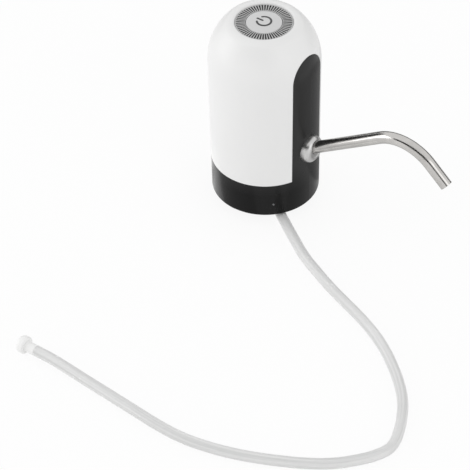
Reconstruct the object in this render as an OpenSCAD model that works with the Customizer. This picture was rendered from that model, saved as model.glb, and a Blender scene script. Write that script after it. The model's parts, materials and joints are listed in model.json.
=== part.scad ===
// Electric water jug pump: white dome on a black base, bent steel spout, push button on top,
// silicone suction hose that leaves under the base and lies on the table.
// Millimetres, +Z up. The origin is on the body's axis, on the plane the pump stands on.
// The spout points along +X.

/* [Body] */
// Largest diameter of the dome body
body_d = 73; // [72:0.5:80]
// Diameter at the lower rim
rim_d = 70.6; // [69:0.2:73]
// Height of the flat crown above the lower rim
body_h = 133; // [131:0.5:145]
// Height of the black band above the lower rim
band_h = 25; // [22:0.5:30]
// Height of the curved dome, from where it starts to curve in up to the crown
dome_h = 29.5; // [26:0.5:32]
// Radius of the dome's long arc
dome_r = 39.7; // [37:0.1:44]
// Radius of the soft edge round the crown
crown_r = 7; // [5:0.5:9]
// Wall of the white dome shell
shell_wall = 2.2; // [1.6:0.1:2.6]
// Wall of the black base and strip
base_wall = 2.4; // [2:0.1:2.8]
// Rounding of the lower outer rim
rim_round = 0.8; // [0.5:0.1:2]
// Open seam between white shell and black base
seam = 0.15; // [0.1:0.01:0.3]

/* [Front strip] */
// Width of the black front strip
strip_w = 29.4; // [26:0.2:30]
// Drop from the crown to the strip's round top
strip_drop = 14.4; // [13:0.2:24]

/* [Neck adapter] */
// Height of the rim above the table, so that the hose passes under it
stand_h = 8; // [7.8:0.1:10]
// Gap between the socket sleeve and the base's wall
rim_room = 2.6; // [2:0.1:3.2]
// Depth of the socket from the rim to the seal
socket_depth = 23; // [21:0.5:26]
// Wall of the socket sleeve
sleeve_wall = 1.5; // [1.2:0.1:1.8]
// Room for the wall of the jug's neck, between the fingers and the sleeve
neck_room = 5.6; // [5:0.1:6.2]
// Thickness of a finger
finger_t = 2; // [1.5:0.1:2.4]
// Number of fingers
finger_n = 6; // [6:1:7]
// Clear gap between two fingers
finger_gap = 10.6; // [9.5:0.1:12]
// Bearing of the gap that the hose leaves through, in degrees from the spout
hose_bearing = -32.5; // [-34:0.5:-31]
// Thickness of the rubber neck seal
seal_t = 3; // [2:0.1:4]
// Thickness of the adapter's top plate
plate_t = 2; // [1.6:0.1:2.6]

/* [Deck] */
// Thickness of the deck that closes the dry space
deck_t = 2.5; // [2:0.1:3]
// Height of the inlet turret above the deck's underside
turret_h = 10; // [9.5:0.1:12]
// Inside diameter of the inlet turret
turret_d = 16; // [15:0.5:17]
// Wall of the inlet turret
turret_wall = 2; // [1.6:0.1:2.2]

/* [Spout] */
// Outside diameter of the steel spout
spout_d = 8; // [7:0.1:8.4]
// Wall of the steel spout
spout_wall = 0.6; // [0.4:0.05:1]
// Height above the rim where the spout's axis crosses the strip's face
spout_z = 45.4; // [45:0.1:47]
// Rise of the spout's straight run, in degrees
spout_rise = 33; // [32:0.5:35]
// Straight run from the strip's face to the bend
spout_run = 64.2; // [50:0.2:80]
// Turn of the bend, in degrees
spout_bend = 74.6; // [60:0.2:90]
// Radius of the bend at the tube's centre
spout_bend_r = 32; // [20:1:40]
// Straight tip after the bend
spout_tip = 17; // [10:1:30]
// Diameter of the bright collar at the spout's root
collar_d = 18.4; // [18:0.1:22]
// Height of the collar above the strip
collar_h = 5.2; // [5.1:0.1:7]
// Rounding of the collar's rim
collar_round = 4; // [3:0.1:4.4]

/* [Hose] */
// Outside diameter of the silicone hose
hose_d = 7; // [6.4:0.1:7.2]
// Bore of the silicone hose
hose_bore = 4.5; // [4.3:0.1:5]
// Diameter of the foot's mushroom head
foot_d = 11.5; // [10:0.1:11.5]
// Thickness of the mushroom head
foot_t = 6; // [5:0.1:7]
// Length of the foot's neck
foot_neck = 7.5; // [6:0.1:10]

/* [Button] */
// Diameter of the ridged ring round the button
ring_d = 37.4; // [36:0.1:38.5]
// Depth of the ring and button below the crown
ring_recess = 1; // [0.5:0.1:1.5]
// Height of the ring
ring_t = 4; // [3.8:0.1:5]
// Diameter of the push button
button_d = 23.2; // [22:0.1:25]
// Rise of the button's domed top above the ring
button_rise = 0.8; // [0.4:0.1:1]
// Travel of the push button
button_travel = 0.8; // [0.4:0.1:0.9]
// Diameter of the power sign on the button, at the middle of its line
sign_d = 9; // [7:0.1:11]
// Line width of the power sign
sign_w = 0.9; // [0.6:0.1:1.2]

/* [Gear pump] */
// Teeth on each pump gear
gear_teeth = 12; // [12:1:13]
// Gear module
gear_module = 1; // [0.95:0.01:1]
// Face width of the gears
gear_w = 7; // [5:0.1:8]
// Wall round the gear chamber
chamber_wall = 3.8; // [3.4:0.1:4.2]
// Thickness of the pump's lower cover
cover_t = 4.6; // [4.5:0.1:5.2]
// Thickness of the pump gasket
gasket_t = 0.6; // [0.4:0.1:1]
// Thickness of the wall over the gears, with the shaft seal in it
roof_t = 3.4; // [3:0.1:4]
// Diameter of the hose barbs
barb_d = 4.4; // [4:0.1:4.4]
// Diameter of the idler gear's pin
pin_d = 3; // [2.5:0.1:3.2]

/* [Motor] */
// Diameter of the motor
motor_d = 24.4; // [23.6:0.1:25]
// Length of the motor's steel can
motor_len = 27; // [25:0.5:30]
// Thickness of the plate between motor and pump
motor_plate_t = 2.4; // [2.2:0.1:3]
// Diameter of the motor shaft
shaft_d = 2; // [1.8:0.05:2.3]

/* [Battery] */
// Diameter of the battery cell
battery_d = 18.4; // [17.6:0.1:18.6]
// Room above the cell for its tab and wires
wire_room = 11.1; // [8:0.1:14]

/* [Screws] */
// Shank diameter of the self-tapping screws
screw_d = 2; // [1.8:0.1:2.2]
// Head diameter of the screws
screw_head_d = 3.8; // [3.4:0.1:4]
// Head height of the screws
screw_head_t = 1.4; // [1.2:0.1:1.6]

/* [Clearances] */
// Gap between parts that slip together
slip = 0.12; // [0.08:0.01:0.18]
// Radial gap of a running shaft or gear
running = 0.04; // [0.02:0.01:0.06]
// Radial gap left where a part is pressed or glued in
pressed = 0.02; // [0.01:0.01:0.03]
// Sideways gap between the gear teeth
backlash = 0.2; // [0.15:0.01:0.3]

/* [Hidden] */
$fn = 64;

// Room that a cutting tool reaches past the face it cuts
past = 1;
reach = body_d + body_h;
// Room round a part that must not touch its neighbour
loose = 0.3;

// Socket that drops over the jug's neck, and the ring of fingers inside it
socket_d = rim_d - 2 * (base_wall + rim_room + sleeve_wall);
finger_d = socket_d - 2 * neck_room;

// Heights of the body, from the table up
shoulder_h = body_h - dome_h;
strip_h = body_h - strip_drop;
z_rim = stand_h;
z_band = z_rim + band_h;
z_shoulder = z_rim + shoulder_h;
z_top = z_rim + body_h;
z_seal = z_rim + socket_depth;
z_plate = z_seal + seal_t;
z_deck = z_plate + plate_t;
z_floor = z_deck + deck_t;
z_root = z_deck + deck_t / 2;
z_cover = z_deck + turret_h;
z_gasket = z_cover + cover_t;
z_chamber = z_gasket + gasket_t;
gear_side = 0.1;
z_roof = z_chamber + gear_w + 2 * gear_side;
z_plate_motor = z_roof + roof_t;
z_motor = z_plate_motor + motor_plate_t;
z_motor_top = z_motor + motor_len;

// Radius of the body's side at height z
function side_r(z) = rim_d / 2 + (body_d - rim_d) / 2 * (z - z_rim) / shoulder_h;
// A point at radius r and bearing a
function polar(r, a) = [r * cos(a), r * sin(a), 0];

// Lip of the base that the shell slips over
lip_h = 6;
lip_t = 1.9;
lip_r = side_r(z_band) - shell_wall - slip;
lip_root = 4;

// Screw places: bearings and radii
adapter_screw_bearings = [60, 180, 300];
adapter_screw_r = finger_d / 2 - finger_t - screw_head_d / 2 - past;
shell_screw_bearings = [60, 150, 255];
boss_r = 2.4;
boss_h = 9.5;
boss_rib_t = 2.4;
adapter_boss_h = 4;
boss_rib_z = z_band + lip_h + 1;
shell_screw_r = lip_r - lip_t - boss_r - slip;
pilot_d = screw_d + 2 * pressed;
clear_d = screw_d + 2 * slip;

// Outer body as a half section, moved inwards by inset
module body_section(inset) {
    arc_x = body_d / 2 - dome_r;
    crown_z = z_top - crown_r;
    crown_x = arc_x + sqrt(pow(dome_r - crown_r, 2) - pow(crown_z - z_shoulder, 2));
    meet_z = crown_z + crown_r * (crown_z - z_shoulder) / (dome_r - crown_r);
    low_z = z_rim - (inset > 0 ? past : 0);
    polygon([[0, low_z], [side_r(low_z) - inset, low_z], [body_d / 2 - inset, z_shoulder], [0, z_shoulder]]);
    intersection() {
        translate([arc_x, z_shoulder]) circle(dome_r - inset);
        translate([0, z_shoulder - past]) square([body_d, meet_z - z_shoulder + past]);
    }
    translate([crown_x, crown_z]) circle(crown_r - inset);
    translate([0, z_shoulder - past]) square([crown_x, z_top - inset - z_shoulder + past]);
}

module body_solid(inset) {
    rotate_extrude() body_section(inset);
}

// The strip's outline as a prism along +X, grown by extra on each side
module strip_prism(extra, low) {
    arch_z = z_rim + strip_h - strip_w / 2;
    half = strip_w / 2 + extra;
    rotate([90, 0, 90]) linear_extrude(body_d) {
        translate([-half, low]) square([2 * half, arch_z - low]);
        translate([0, arch_z]) circle(half);
    }
}

module tube(r_out, r_in, low, high) {
    translate([0, 0, low]) difference() {
        cylinder(r = r_out, h = high - low);
        translate([0, 0, -past]) cylinder(r = r_in, h = high - low + 2 * past);
    }
}

// Screw with its head at z = 0 and below, shank up to length
module screw(length) {
    translate([0, 0, -screw_head_t]) cylinder(d = screw_head_d, h = screw_head_t);
    translate([0, 0, -screw_head_t / 2]) cylinder(d = screw_d, h = length + screw_head_t / 2);
}

// Push button at the crown
z_ring = z_top - ring_recess;
z_ledge = z_ring - ring_t;
ledge_t = 2.4;
ledge_r = 15.4;
well_wall = 2;
well_round = 1.4;
ring_r = ring_d / 2;
well_r = ring_r + slip;
button_gap = loose;
button_r = button_d / 2;
cap_r = (button_r * button_r + button_rise * button_rise) / (2 * button_rise);
flange_r = button_r + 2.2;
flange_t = 1.5;
ring_lip_t = 2;
flange_gap = 0.15;
z_flange = z_ring - ring_lip_t - flange_gap - flange_t;
carrier_h = 5.6;
carrier_r = well_r + well_wall / 2;
carrier_in_r = flange_r - 1;
z_carrier = z_ledge - ledge_t - carrier_h;
board_t = 1.6;
switch_w = 6;
switch_h = 3.5;
plunger_r = 1.7;
plunger_h = 2.9;
plunger_show = 1;
z_switch = z_carrier;
z_plunger = z_switch + switch_h + plunger_show;
carrier_screw_r = (ledge_r + well_r) / 2;
carrier_screw_bearings = [30, 150, 270];
carrier_screw_len = board_t + carrier_h + ledge_t - past;

// Charging port, light and their board
usb_w = 7.6;
usb_h = 2.9;
usb_len = 5.8;
charge_board_z = z_floor + 1.5;
charge_board_t = 1.2;
charge_board_w = 7.3;
charge_board_out = lip_r - lip_t / 2;
charge_board_in = charge_board_out - charge_board_w;
charge_board_from = 160;
charge_board_to = 324;
light_bearing = -45.3;
light_z = 9.3;
light_d = 1.6;
light_r = (socket_d / 2 + sleeve_wall + rim_d / 2 - base_wall) / 2;
led_h = 1;
led_w = 2;
led_r = min(light_r, lip_r - led_w / 2 - slip);
board_pad_r = charge_board_in + 3;
board_pad_w = 3.2;
board_pads = [195, 232, 290];

// Main board on two slotted posts of the deck
main_x = [-19, -2];
main_y = 20.5;
main_z = [z_floor + 13.5, z_carrier - board_t - 19.9];
post_x = [-17.5, -3.5];
post_w = 4;
post_d = 5;
post_h = 19.5;

// Battery and its holder
battery_room = 1.05;
battery_x = battery_room + battery_d / 2 + shell_wall - min(side_r(z_floor), side_r(z_shoulder));
battery_lift = 10;
holder_wall = 1.5;
holder_floor = 1.5;
tab_t = 0.3;
z_holder = z_floor + battery_lift;
z_battery = z_holder + holder_floor + tab_t;
battery_len = z_carrier - board_t - wire_room - z_battery;
holder_h = battery_len - battery_d / 2;
holder_r = battery_d / 2 + slip + holder_wall;
leg_x = battery_x + battery_d / 4;
leg_y = battery_d / 2;

// Pump: the inlet is on the body's axis, the gears are in front of it
gear_pitch_r = gear_teeth * gear_module / 2;
gear_tip_r = gear_pitch_r + gear_module;
chamber_r = gear_tip_r + loose;
pump_r = chamber_r + chamber_wall;
pump_x = gear_pitch_r;
drive_y = gear_pitch_r;
port_w = 4.4;
inlet_d = 3;
outlet_x = pump_x + chamber_r + 0.6;
outlet_z = z_cover + cover_t / 2;
outlet_d = 2.8;
ear_r = 3;
ear_y = drive_y + motor_d / 2 + screw_head_d / 2 + loose;
ear_back = turret_d / 2 + turret_wall + 1.2;
ear_bearing = 225;
ears = [[pump_x, ear_y, 0], [pump_x, -ear_y, 0], polar(ear_back, ear_bearing)];
pump_screw_in = 5;
barb_len = 9;
pin_seat = 1.6;
seal_d = 6;
seal_floor = 0.8;

// Spout: the axis starts where it crosses the strip's face
spout_r = spout_d / 2;
spout_foot_z = z_rim + spout_z;
spout_foot_x = side_r(spout_foot_z);
socket_r = spout_r + 2;
socket_nose = 1.5;
socket_in = 11;
spout_in = 9;
spout_end_gap = loose;
spout_step = 1.2;
spout_seal_t = 1.6;
spout_seal_depth = 0.9;
spout_seal_at = [-2.5, -6];
tube_r = hose_d / 2 - 0.5;
tube_len = 6;
tube_from = pump_x + pump_r + 0.2;
socket_end = [spout_foot_x - socket_in * cos(spout_rise), spout_foot_z - socket_in * sin(spout_rise)];
socket_face_x = socket_end[0] - (outlet_z + tube_r - socket_end[1]) * tan(spout_rise);
tube_to = min(tube_from + tube_len, socket_face_x - slip);

// Frame of the spout: local +X runs out along its straight run
module on_spout() {
    translate([spout_foot_x, 0, spout_foot_z]) rotate([0, -spout_rise, 0]) children();
}

// Rod along local X between two places
module rod_x(r, from, to) {
    translate([from, 0, 0]) rotate([0, 90, 0]) cylinder(r = r, h = to - from);
}

// White outer shell

module shell_bosses(hole) {
    for (a = shell_screw_bearings) translate(polar(shell_screw_r, a)) {
        if (hole) translate([0, 0, z_floor - past]) cylinder(d = pilot_d, h = boss_h);
        if (!hole) translate([0, 0, z_floor]) cylinder(r = boss_r, h = boss_h);
        if (!hole) rotate(a) translate([0, -boss_rib_t / 2, boss_rib_z])
            cube([3 * boss_r, boss_rib_t, z_floor + boss_h - boss_rib_z - past]);
    }
}

module dome_shell() {
    color("whitesmoke") difference() {
        union() {
            difference() {
                body_solid(0);
                body_solid(shell_wall);
                translate([0, 0, z_top - shell_wall - past]) cylinder(r = well_r + well_wall / 2, h = reach);
            }
            tube(well_r + well_wall, well_r, z_ledge - ledge_t, z_top - past / 2);
            tube(well_r + well_wall / 2, ledge_r, z_ledge - ledge_t, z_ledge);
            tube(well_r + well_wall * 0.75, well_r, z_top - shell_wall / 2, z_top);
            intersection() {
                shell_bosses(false);
                body_solid(shell_wall / 2);
            }
        }
        translate([-reach, -reach, -past]) cube([2 * reach, 2 * reach, z_band + seam + past]);
        strip_prism(seam, -past);
        shell_bosses(true);
        for (a = carrier_screw_bearings) translate(polar(carrier_screw_r, a))
            translate([0, 0, z_ledge - ledge_t - past]) cylinder(d = pilot_d, h = ledge_t - past / 2 + past);
        usb_window(slip);
        rotate_extrude() difference() {
            translate([well_r - past, z_top - well_round]) square([well_round + past, well_round + past]);
            translate([well_r + well_round, z_top - well_round]) circle(well_round);
        }
    }
}

module usb_window(extra) {
    zc = charge_board_z + charge_board_t + usb_h / 2;
    translate([-reach, -usb_w / 2 - extra, zc - usb_h / 2 - extra])
        cube([reach - charge_board_in, usb_w + 2 * extra, usb_h + 2 * extra]);
}

// Black base with the front strip

module base_skin() {
    intersection() {
        difference() {
            body_solid(0);
            body_solid(base_wall);
        }
        union() {
            translate([-reach, -reach, -past]) cube([2 * reach, 2 * reach, z_band + past]);
            strip_prism(0, -past);
        }
    }
}

module rim_edge() {
    r = rim_d / 2;
    rotate_extrude() difference() {
        translate([r - rim_round, z_rim - past]) square([rim_round + past, rim_round + past]);
        translate([r - rim_round, z_rim + rim_round]) circle(rim_round);
    }
}

module base_body() {
    color("#26272a") difference() {
        union() {
            base_skin();
            tube(lip_r, lip_r - lip_t, z_band - lip_root, z_band + lip_h);
            tube(side_r(z_band - lip_root) - base_wall / 2, lip_r - lip_t, z_band - lip_root, z_band - seam);
            tube(lip_r - lip_t / 2, turret_d / 2, z_deck, z_floor);
            tube(turret_d / 2 + turret_wall, turret_d / 2, z_deck, z_cover);
            for (e = ears) translate([e[0], e[1], z_root]) cylinder(r = ear_r, h = z_cover - z_root);
            for (a = adapter_screw_bearings) translate(polar(adapter_screw_r, a))
                translate([0, 0, z_root]) cylinder(r = boss_r, h = deck_t / 2 + adapter_boss_h);
            for (a = board_pads) translate(polar(board_pad_r, a))
                translate([0, 0, z_root]) cylinder(r = board_pad_w / 2, h = charge_board_z - z_root);
            for (x = post_x) translate([x - post_w / 2, main_y + board_t / 2 - post_d / 2, z_root])
                cube([post_w, post_d, post_h]);
        }
        rim_edge();
        translate([0, 0, -past]) cylinder(d = turret_d, h = z_cover + 2 * past);
        for (e = ears) translate([e[0], e[1], z_cover - pump_screw_in - loose])
            cylinder(d = pilot_d, h = reach);
        for (a = adapter_screw_bearings) translate(polar(adapter_screw_r, a))
            translate([0, 0, z_deck - past]) cylinder(d = pilot_d, h = deck_t + adapter_boss_h);
        for (a = shell_screw_bearings) translate(polar(shell_screw_r, a)) {
            translate([0, 0, z_deck - past]) cylinder(d = clear_d, h = deck_t + 2 * past);
            translate([0, 0, z_deck - past])
                cylinder(d = screw_head_d + 2 * slip, h = screw_head_t + slip + past);
        }
        translate([main_x[0] - slip, main_y - slip, main_z[0]])
            cube([main_x[1] - main_x[0] + 2 * slip, board_t + 2 * slip, reach]);
        on_spout() rod_x(socket_r + slip, -socket_in, collar_h);
        translate(polar(light_r, light_bearing)) translate([0, 0, z_rim + light_z - light_d / 2 - slip])
            cylinder(d = light_d + 2 * slip, h = z_floor);
        rotate(light_bearing) translate([0, 0, z_rim + light_z]) rod_x(light_d / 2 + slip, light_r, body_d);
        inlet_groove();
    }
}

// Groove for the inlet seal in the turret's top
seal_ring_t = 1.2;
seal_ring_h = 0.9;
seal_ring_r = turret_d / 2 + turret_wall / 2;
module inlet_groove() {
    tube(seal_ring_r + seal_ring_t / 2 + pressed, seal_ring_r - seal_ring_t / 2 - pressed,
         z_cover - seal_ring_h, z_cover + past);
}

module inlet_seal() {
    color("#8a3b2e")
        tube(seal_ring_r + seal_ring_t / 2, seal_ring_r - seal_ring_t / 2, z_cover - seal_ring_h, z_cover);
}

// Neck adapter under the deck

module neck_adapter() {
    finger_r = finger_d / 2;
    color("#2d2e31") difference() {
        union() {
            tube(socket_d / 2 + sleeve_wall, socket_d / 2, z_rim + 1, z_deck);
            tube(socket_d / 2 + sleeve_wall / 2, turret_d / 2 + turret_wall, z_plate, z_deck);
            tube(finger_r, finger_r - finger_t, 0, z_plate + plate_t / 2);
        }
        for (i = [0 : finger_n - 1]) rotate(hose_bearing + i * 360 / finger_n)
            translate([0, -finger_gap / 2, -past]) cube([finger_r + past, finger_gap, z_seal - 1 + past]);
        for (a = adapter_screw_bearings) translate(polar(adapter_screw_r, a))
            translate([0, 0, z_plate - past]) cylinder(d = clear_d, h = plate_t + 2 * past);
    }
}

module neck_seal() {
    color("#9b9b98") tube(socket_d / 2 - slip, finger_d / 2 + slip, z_seal, z_plate);
}

module adapter_screws() {
    color("silver") for (a = adapter_screw_bearings) translate(polar(adapter_screw_r, a))
        translate([0, 0, z_plate]) screw(plate_t + deck_t + adapter_boss_h / 2);
}

module shell_screws() {
    color("silver") for (a = shell_screw_bearings) translate(polar(shell_screw_r, a))
        translate([0, 0, z_deck + screw_head_t + slip]) screw(deck_t - screw_head_t + boss_h - 2 * past);
}

// Push button, its ring, carrier, board and switch

module button_ring() {
    color("dimgray") union() {
        tube(ring_r, flange_r + button_gap, z_ledge, z_ring);
        tube(ring_r - 1, button_r + button_gap, z_ring - ring_lip_t, z_ring);
    }
}

module button_dome(over) {
    rotate_extrude() intersection() {
        translate([0, z_flange]) square([button_r, reach]);
        translate([0, z_ring + button_rise - cap_r]) circle(cap_r + over, $fn = 720);
    }
}

module power_button() {
    color("lightgray") union() {
        button_dome(0);
        translate([0, 0, z_flange]) cylinder(r = flange_r, h = flange_t);
        translate([0, 0, z_plunger + pressed]) cylinder(r = plunger_r - slip, h = z_flange - z_plunger);
    }
}

module power_sign() {
    sign_t = 0.15;
    sign_gap = 70;
    sign_h = button_rise + 1;
    color("#55585c") difference() {
        intersection() {
            translate([0, 0, z_ring]) {
                rotate(180 + sign_gap / 2) rotate_extrude(angle = 360 - sign_gap)
                    translate([sign_d / 2 - sign_w / 2, 0]) square([sign_w, sign_h]);
                translate([-sign_d / 2 - sign_w, -sign_w / 2, 0]) cube([sign_d / 2, sign_w, sign_h]);
            }
            button_dome(sign_t);
        }
        button_dome(0);
    }
}

module button_carrier() {
    color("#e8e6e0") difference() {
        tube(carrier_r, carrier_in_r, z_carrier, z_carrier + carrier_h);
        carrier_holes(clear_d);
    }
}

module carrier_holes(d) {
    for (a = carrier_screw_bearings) translate(polar(carrier_screw_r, a))
        translate([0, 0, z_carrier - board_t - past]) cylinder(d = d, h = board_t + carrier_h + 2 * past);
}

module button_board() {
    color("seagreen") difference() {
        translate([0, 0, z_carrier - board_t]) cylinder(r = carrier_r - loose, h = board_t);
        carrier_holes(clear_d);
    }
}

module carrier_screws() {
    color("silver") for (a = carrier_screw_bearings) translate(polar(carrier_screw_r, a))
        translate([0, 0, z_carrier - board_t]) screw(carrier_screw_len);
}

module switch_case() {
    color("#202124") difference() {
        translate([-switch_w / 2, -switch_w / 2, z_switch]) cube([switch_w, switch_w, switch_h]);
        translate([0, 0, z_plunger - plunger_h - button_travel - loose])
            cylinder(r = plunger_r + running, h = switch_h);
    }
}

module switch_plunger() {
    color("#d9d2c0") translate([0, 0, z_plunger - plunger_h]) cylinder(r = plunger_r, h = plunger_h);
}

// Boards, charging port and light

module main_board() {
    color("seagreen") translate([main_x[0], main_y, main_z[0]])
        cube([main_x[1] - main_x[0], board_t, main_z[1] - main_z[0]]);
}

// Chips on the main board: place along x, place up the board, width, height
chips = [[-14, 18, 5, 4], [-8, 28, 6, 5], [-14, 34, 4, 3], [-9, 43, 7, 4]];
chip_t = 1.4;
module board_chips() {
    color("#1d1e20") for (c = chips) translate([c[0], main_y + board_t, main_z[0] + c[1]])
        cube([c[2], chip_t, c[3]]);
}

module charge_board() {
    color("seagreen") difference() {
        rotate(charge_board_from) rotate_extrude(angle = charge_board_to - charge_board_from)
            translate([charge_board_in, charge_board_z])
                square([charge_board_out - charge_board_in, charge_board_t]);
        for (a = shell_screw_bearings) translate(polar(shell_screw_r, a))
            translate([0, 0, charge_board_z - past])
                cylinder(r = boss_r + loose, h = charge_board_t + 2 * past);
        for (a = shell_screw_bearings) rotate(a)
            translate([shell_screw_r, -boss_rib_t / 2 - loose, charge_board_z - past])
                cube([reach, boss_rib_t + 2 * loose, charge_board_t + 2 * past]);
    }
}

module usb_socket() {
    mouth = side_r(charge_board_z) - loose;
    zc = charge_board_z + charge_board_t;
    wall = 0.35;
    back = 0.6;
    tongue_w = 4.4;
    tongue_t = 0.6;
    color("silver") difference() {
        translate([-mouth, -usb_w / 2, zc]) cube([usb_len, usb_w, usb_h]);
        translate([-mouth - past, -usb_w / 2 + wall, zc + wall])
            cube([usb_len - back + past, usb_w - 2 * wall, usb_h - 2 * wall]);
    }
    color("#202124") translate([-mouth + past, -tongue_w / 2, zc + usb_h / 2 - tongue_t / 2])
        cube([usb_len - back / 2 - past, tongue_w, tongue_t]);
}

module charge_led() {
    color("#e7e4c8") rotate(light_bearing) translate([led_r - led_w / 2, -led_w / 2, charge_board_z - led_h])
        cube([led_w, led_w, led_h]);
}

module charge_light() {
    low = z_rim + light_z;
    top = charge_board_z - led_h - slip;
    color("#b9bcc0") union() {
        translate(polar(light_r, light_bearing)) translate([0, 0, low - light_d / 2])
            cylinder(d = light_d, h = top - low + light_d / 2);
        rotate(light_bearing) translate([0, 0, low]) rod_x(light_d / 2 - pressed, light_r, side_r(low) + slip);
    }
}

// Battery

module battery_cell() {
    rim_in = 4;
    rim_h = 0.6;
    end_h = 1;
    pole = 7;
    color("#3f6ea8") translate([battery_x, 0, z_battery]) union() {
        cylinder(d = battery_d, h = battery_len - end_h);
        cylinder(d = battery_d - rim_in, h = battery_len - rim_h);
        cylinder(d = pole, h = battery_len);
    }
}

module battery_holder() {
    leg = [4, 3];
    mouth = battery_x - 3;
    color("#33353a") intersection() {
        union() {
            difference() {
                translate([battery_x, 0, z_holder]) cylinder(r = holder_r, h = holder_h);
                translate([battery_x, 0, z_holder + holder_floor])
                    cylinder(d = battery_d + 2 * slip, h = reach);
                translate([-reach, -reach, z_holder + holder_floor]) cube([reach + mouth, 2 * reach, reach]);
            }
            for (s = [-1, 1]) translate([leg_x - leg[0] / 2, s * leg_y - leg[1] / 2, z_floor])
                cube([leg[0], leg[1], battery_lift + holder_floor]);
        }
        translate([0, 0, z_floor]) cylinder(r = charge_board_out - past, h = reach);
    }
}

module battery_tabs() {
    color("silver") translate([battery_x, 0, 0]) {
        translate([-3, -3, z_battery - tab_t]) cube([6, 6, tab_t]);
        translate([-2.5, -2.5, z_battery + battery_len]) cube([5, 9, tab_t]);
    }
}

// A wire as a run of eight-sided rods that cross at the corners
wire_r = 0.6;
module wire(points) {
    last = len(points) - 2;
    for (i = [0 : last]) {
        step = points[i + 1] - points[i];
        flat = norm([step[0], step[1]]);
        before = i > 0 ? wire_r : 0;
        after = i < last ? wire_r : 0;
        translate(points[i]) rotate([0, atan2(flat, step[2]), atan2(step[1], step[0])])
            translate([0, 0, -before]) cylinder(r = wire_r, h = norm(step) + before + after, $fn = 8);
    }
}

// Wires run from the motor, the cell, the button board and the charging board to the main board
lead_pitch = 4;
lead_y = 5;
module wires() {
    x = [for (i = [1 : 3]) main_x[1] - i * lead_pitch];
    near = main_y - lead_pitch;
    face = main_y + board_t / 2;
    drop = [main_x[1] - lead_pitch / 2, carrier_in_r];
    charge = polar(board_pad_r, charge_board_from + 3);
    z_cap = z_motor_top + cap_t + cap_pin_h;
    z_tab = z_battery + battery_len + tab_t;
    z_charge = charge_board_z + charge_board_t;
    z_link = main_z[1] - 6;
    z_over = z_tab + 2.4;
    z_low = z_charge + lead_pitch;
    z_foot = main_z[0] + lead_pitch;
    color("firebrick") {
        wire([[pump_x, drive_y + lead_y, z_cap], [pump_x, drive_y + lead_y, z_cap + 6], [x[0], near, z_cap + 6],
              [x[0], near, z_link], [x[0], main_y, z_link]]);
        wire([[battery_x, lead_pitch, z_tab], [battery_x, lead_pitch, z_over], [x[2], near, z_over],
              [x[2], near, z_link], [x[2], main_y, z_link]]);
    }
    color("#222222") {
        wire([[pump_x, drive_y - lead_y, z_cap], [pump_x, drive_y - lead_y, z_cap + 9], [x[1], near, z_cap + 9],
              [x[1], near, z_link], [x[1], main_y, z_link]]);
        wire([[drop[0], face, main_z[1]], [drop[0], face, main_z[1] + lead_y], [drop[0], drop[1], z_carrier - 8],
              [drop[0], drop[1], z_carrier - board_t]]);
        wire([[charge[0], charge[1], z_charge], [charge[0], charge[1], z_low], [x[2], near, z_low],
              [x[2], near, z_foot], [x[2], main_y, z_foot]]);
    }
}

// Motor: can, magnets, end cap, bushes, shaft and armature stand on the drive gear's axis
module at_drive() {
    translate([pump_x, drive_y, 0]) children();
}

bush_r = 3;
neck_r = bush_r + 1;
neck_gap = 0.6;
shaft_r = shaft_d / 2;
can_t = 1;
magnet_t = 2.2;
armature_gap = 0.6;
pole_d = 3;
pole_w = 2.2;
armature_r = motor_d / 2 - can_t - magnet_t - pressed - armature_gap;
armature_clear = 4;
z_armature = z_motor + can_t + armature_clear;
armature_len = motor_len - 3 * armature_clear;
cap_t = 3;
cap_pin_h = 1.6;
cap_pin_w = 2;
cap_lap = 2;

motor_screw_r = 8;
motor_screw_in = 2;

module motor_can() {
    color("silver") at_drive() difference() {
        union() {
            translate([0, 0, z_motor]) cylinder(d = motor_d, h = motor_len);
            translate([0, 0, z_plate_motor + neck_gap]) cylinder(r = neck_r, h = motor_plate_t);
        }
        translate([0, 0, z_motor + can_t]) cylinder(d = motor_d - 2 * can_t, h = motor_len);
        translate([0, 0, z_plate_motor]) cylinder(r = bush_r + pressed, h = motor_plate_t + can_t + past);
        for (s = [-1, 1]) translate([s * motor_screw_r, 0, z_motor - past])
            cylinder(d = pilot_d, h = can_t + 2 * past);
    }
}

module motor_magnets() {
    outer = motor_d / 2 - can_t - pressed;
    span = 130;
    color("#4a4a4e") at_drive() translate([0, 0, z_armature]) for (a = [0, 180]) rotate(a + 90 - span / 2)
        rotate_extrude(angle = span) translate([outer - magnet_t, 0]) square([magnet_t, armature_len]);
}

module motor_end_cap() {
    color("#f0efe9") at_drive() difference() {
        union() {
            translate([0, 0, z_motor_top]) cylinder(d = motor_d, h = cap_t);
            translate([0, 0, z_motor_top - cap_lap])
                cylinder(r = motor_d / 2 - can_t - slip, h = cap_lap + past);
            for (y = [-5, 5]) translate([-cap_pin_w / 2, y - cap_pin_w / 2, z_motor_top + past])
                cube([cap_pin_w, cap_pin_w, cap_t - past + cap_pin_h]);
        }
        translate([0, 0, z_motor_top - cap_lap - past]) cylinder(r = bush_r + pressed, h = reach);
    }
}

module motor_bushes() {
    color("goldenrod") at_drive() {
        tube(bush_r, shaft_r + running, z_plate_motor + neck_gap, z_motor + can_t);
        tube(bush_r, shaft_r + running, z_motor_top - cap_lap + loose, z_motor_top + cap_t);
    }
}

module motor_shaft() {
    color("lightsteelblue") at_drive() translate([0, 0, z_chamber + loose])
        cylinder(r = shaft_r, h = z_motor_top + cap_t - past - z_chamber);
}

module motor_armature() {
    color("#8c5a34") at_drive() difference() {
        tube(armature_r, shaft_r + pressed, z_armature, z_armature + armature_len);
        for (a = [0, 120, 240]) rotate(a) translate([armature_r - pole_d, -pole_w / 2, z_armature - past])
            cube([pole_d + past, pole_w, motor_len]);
    }
}

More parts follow.
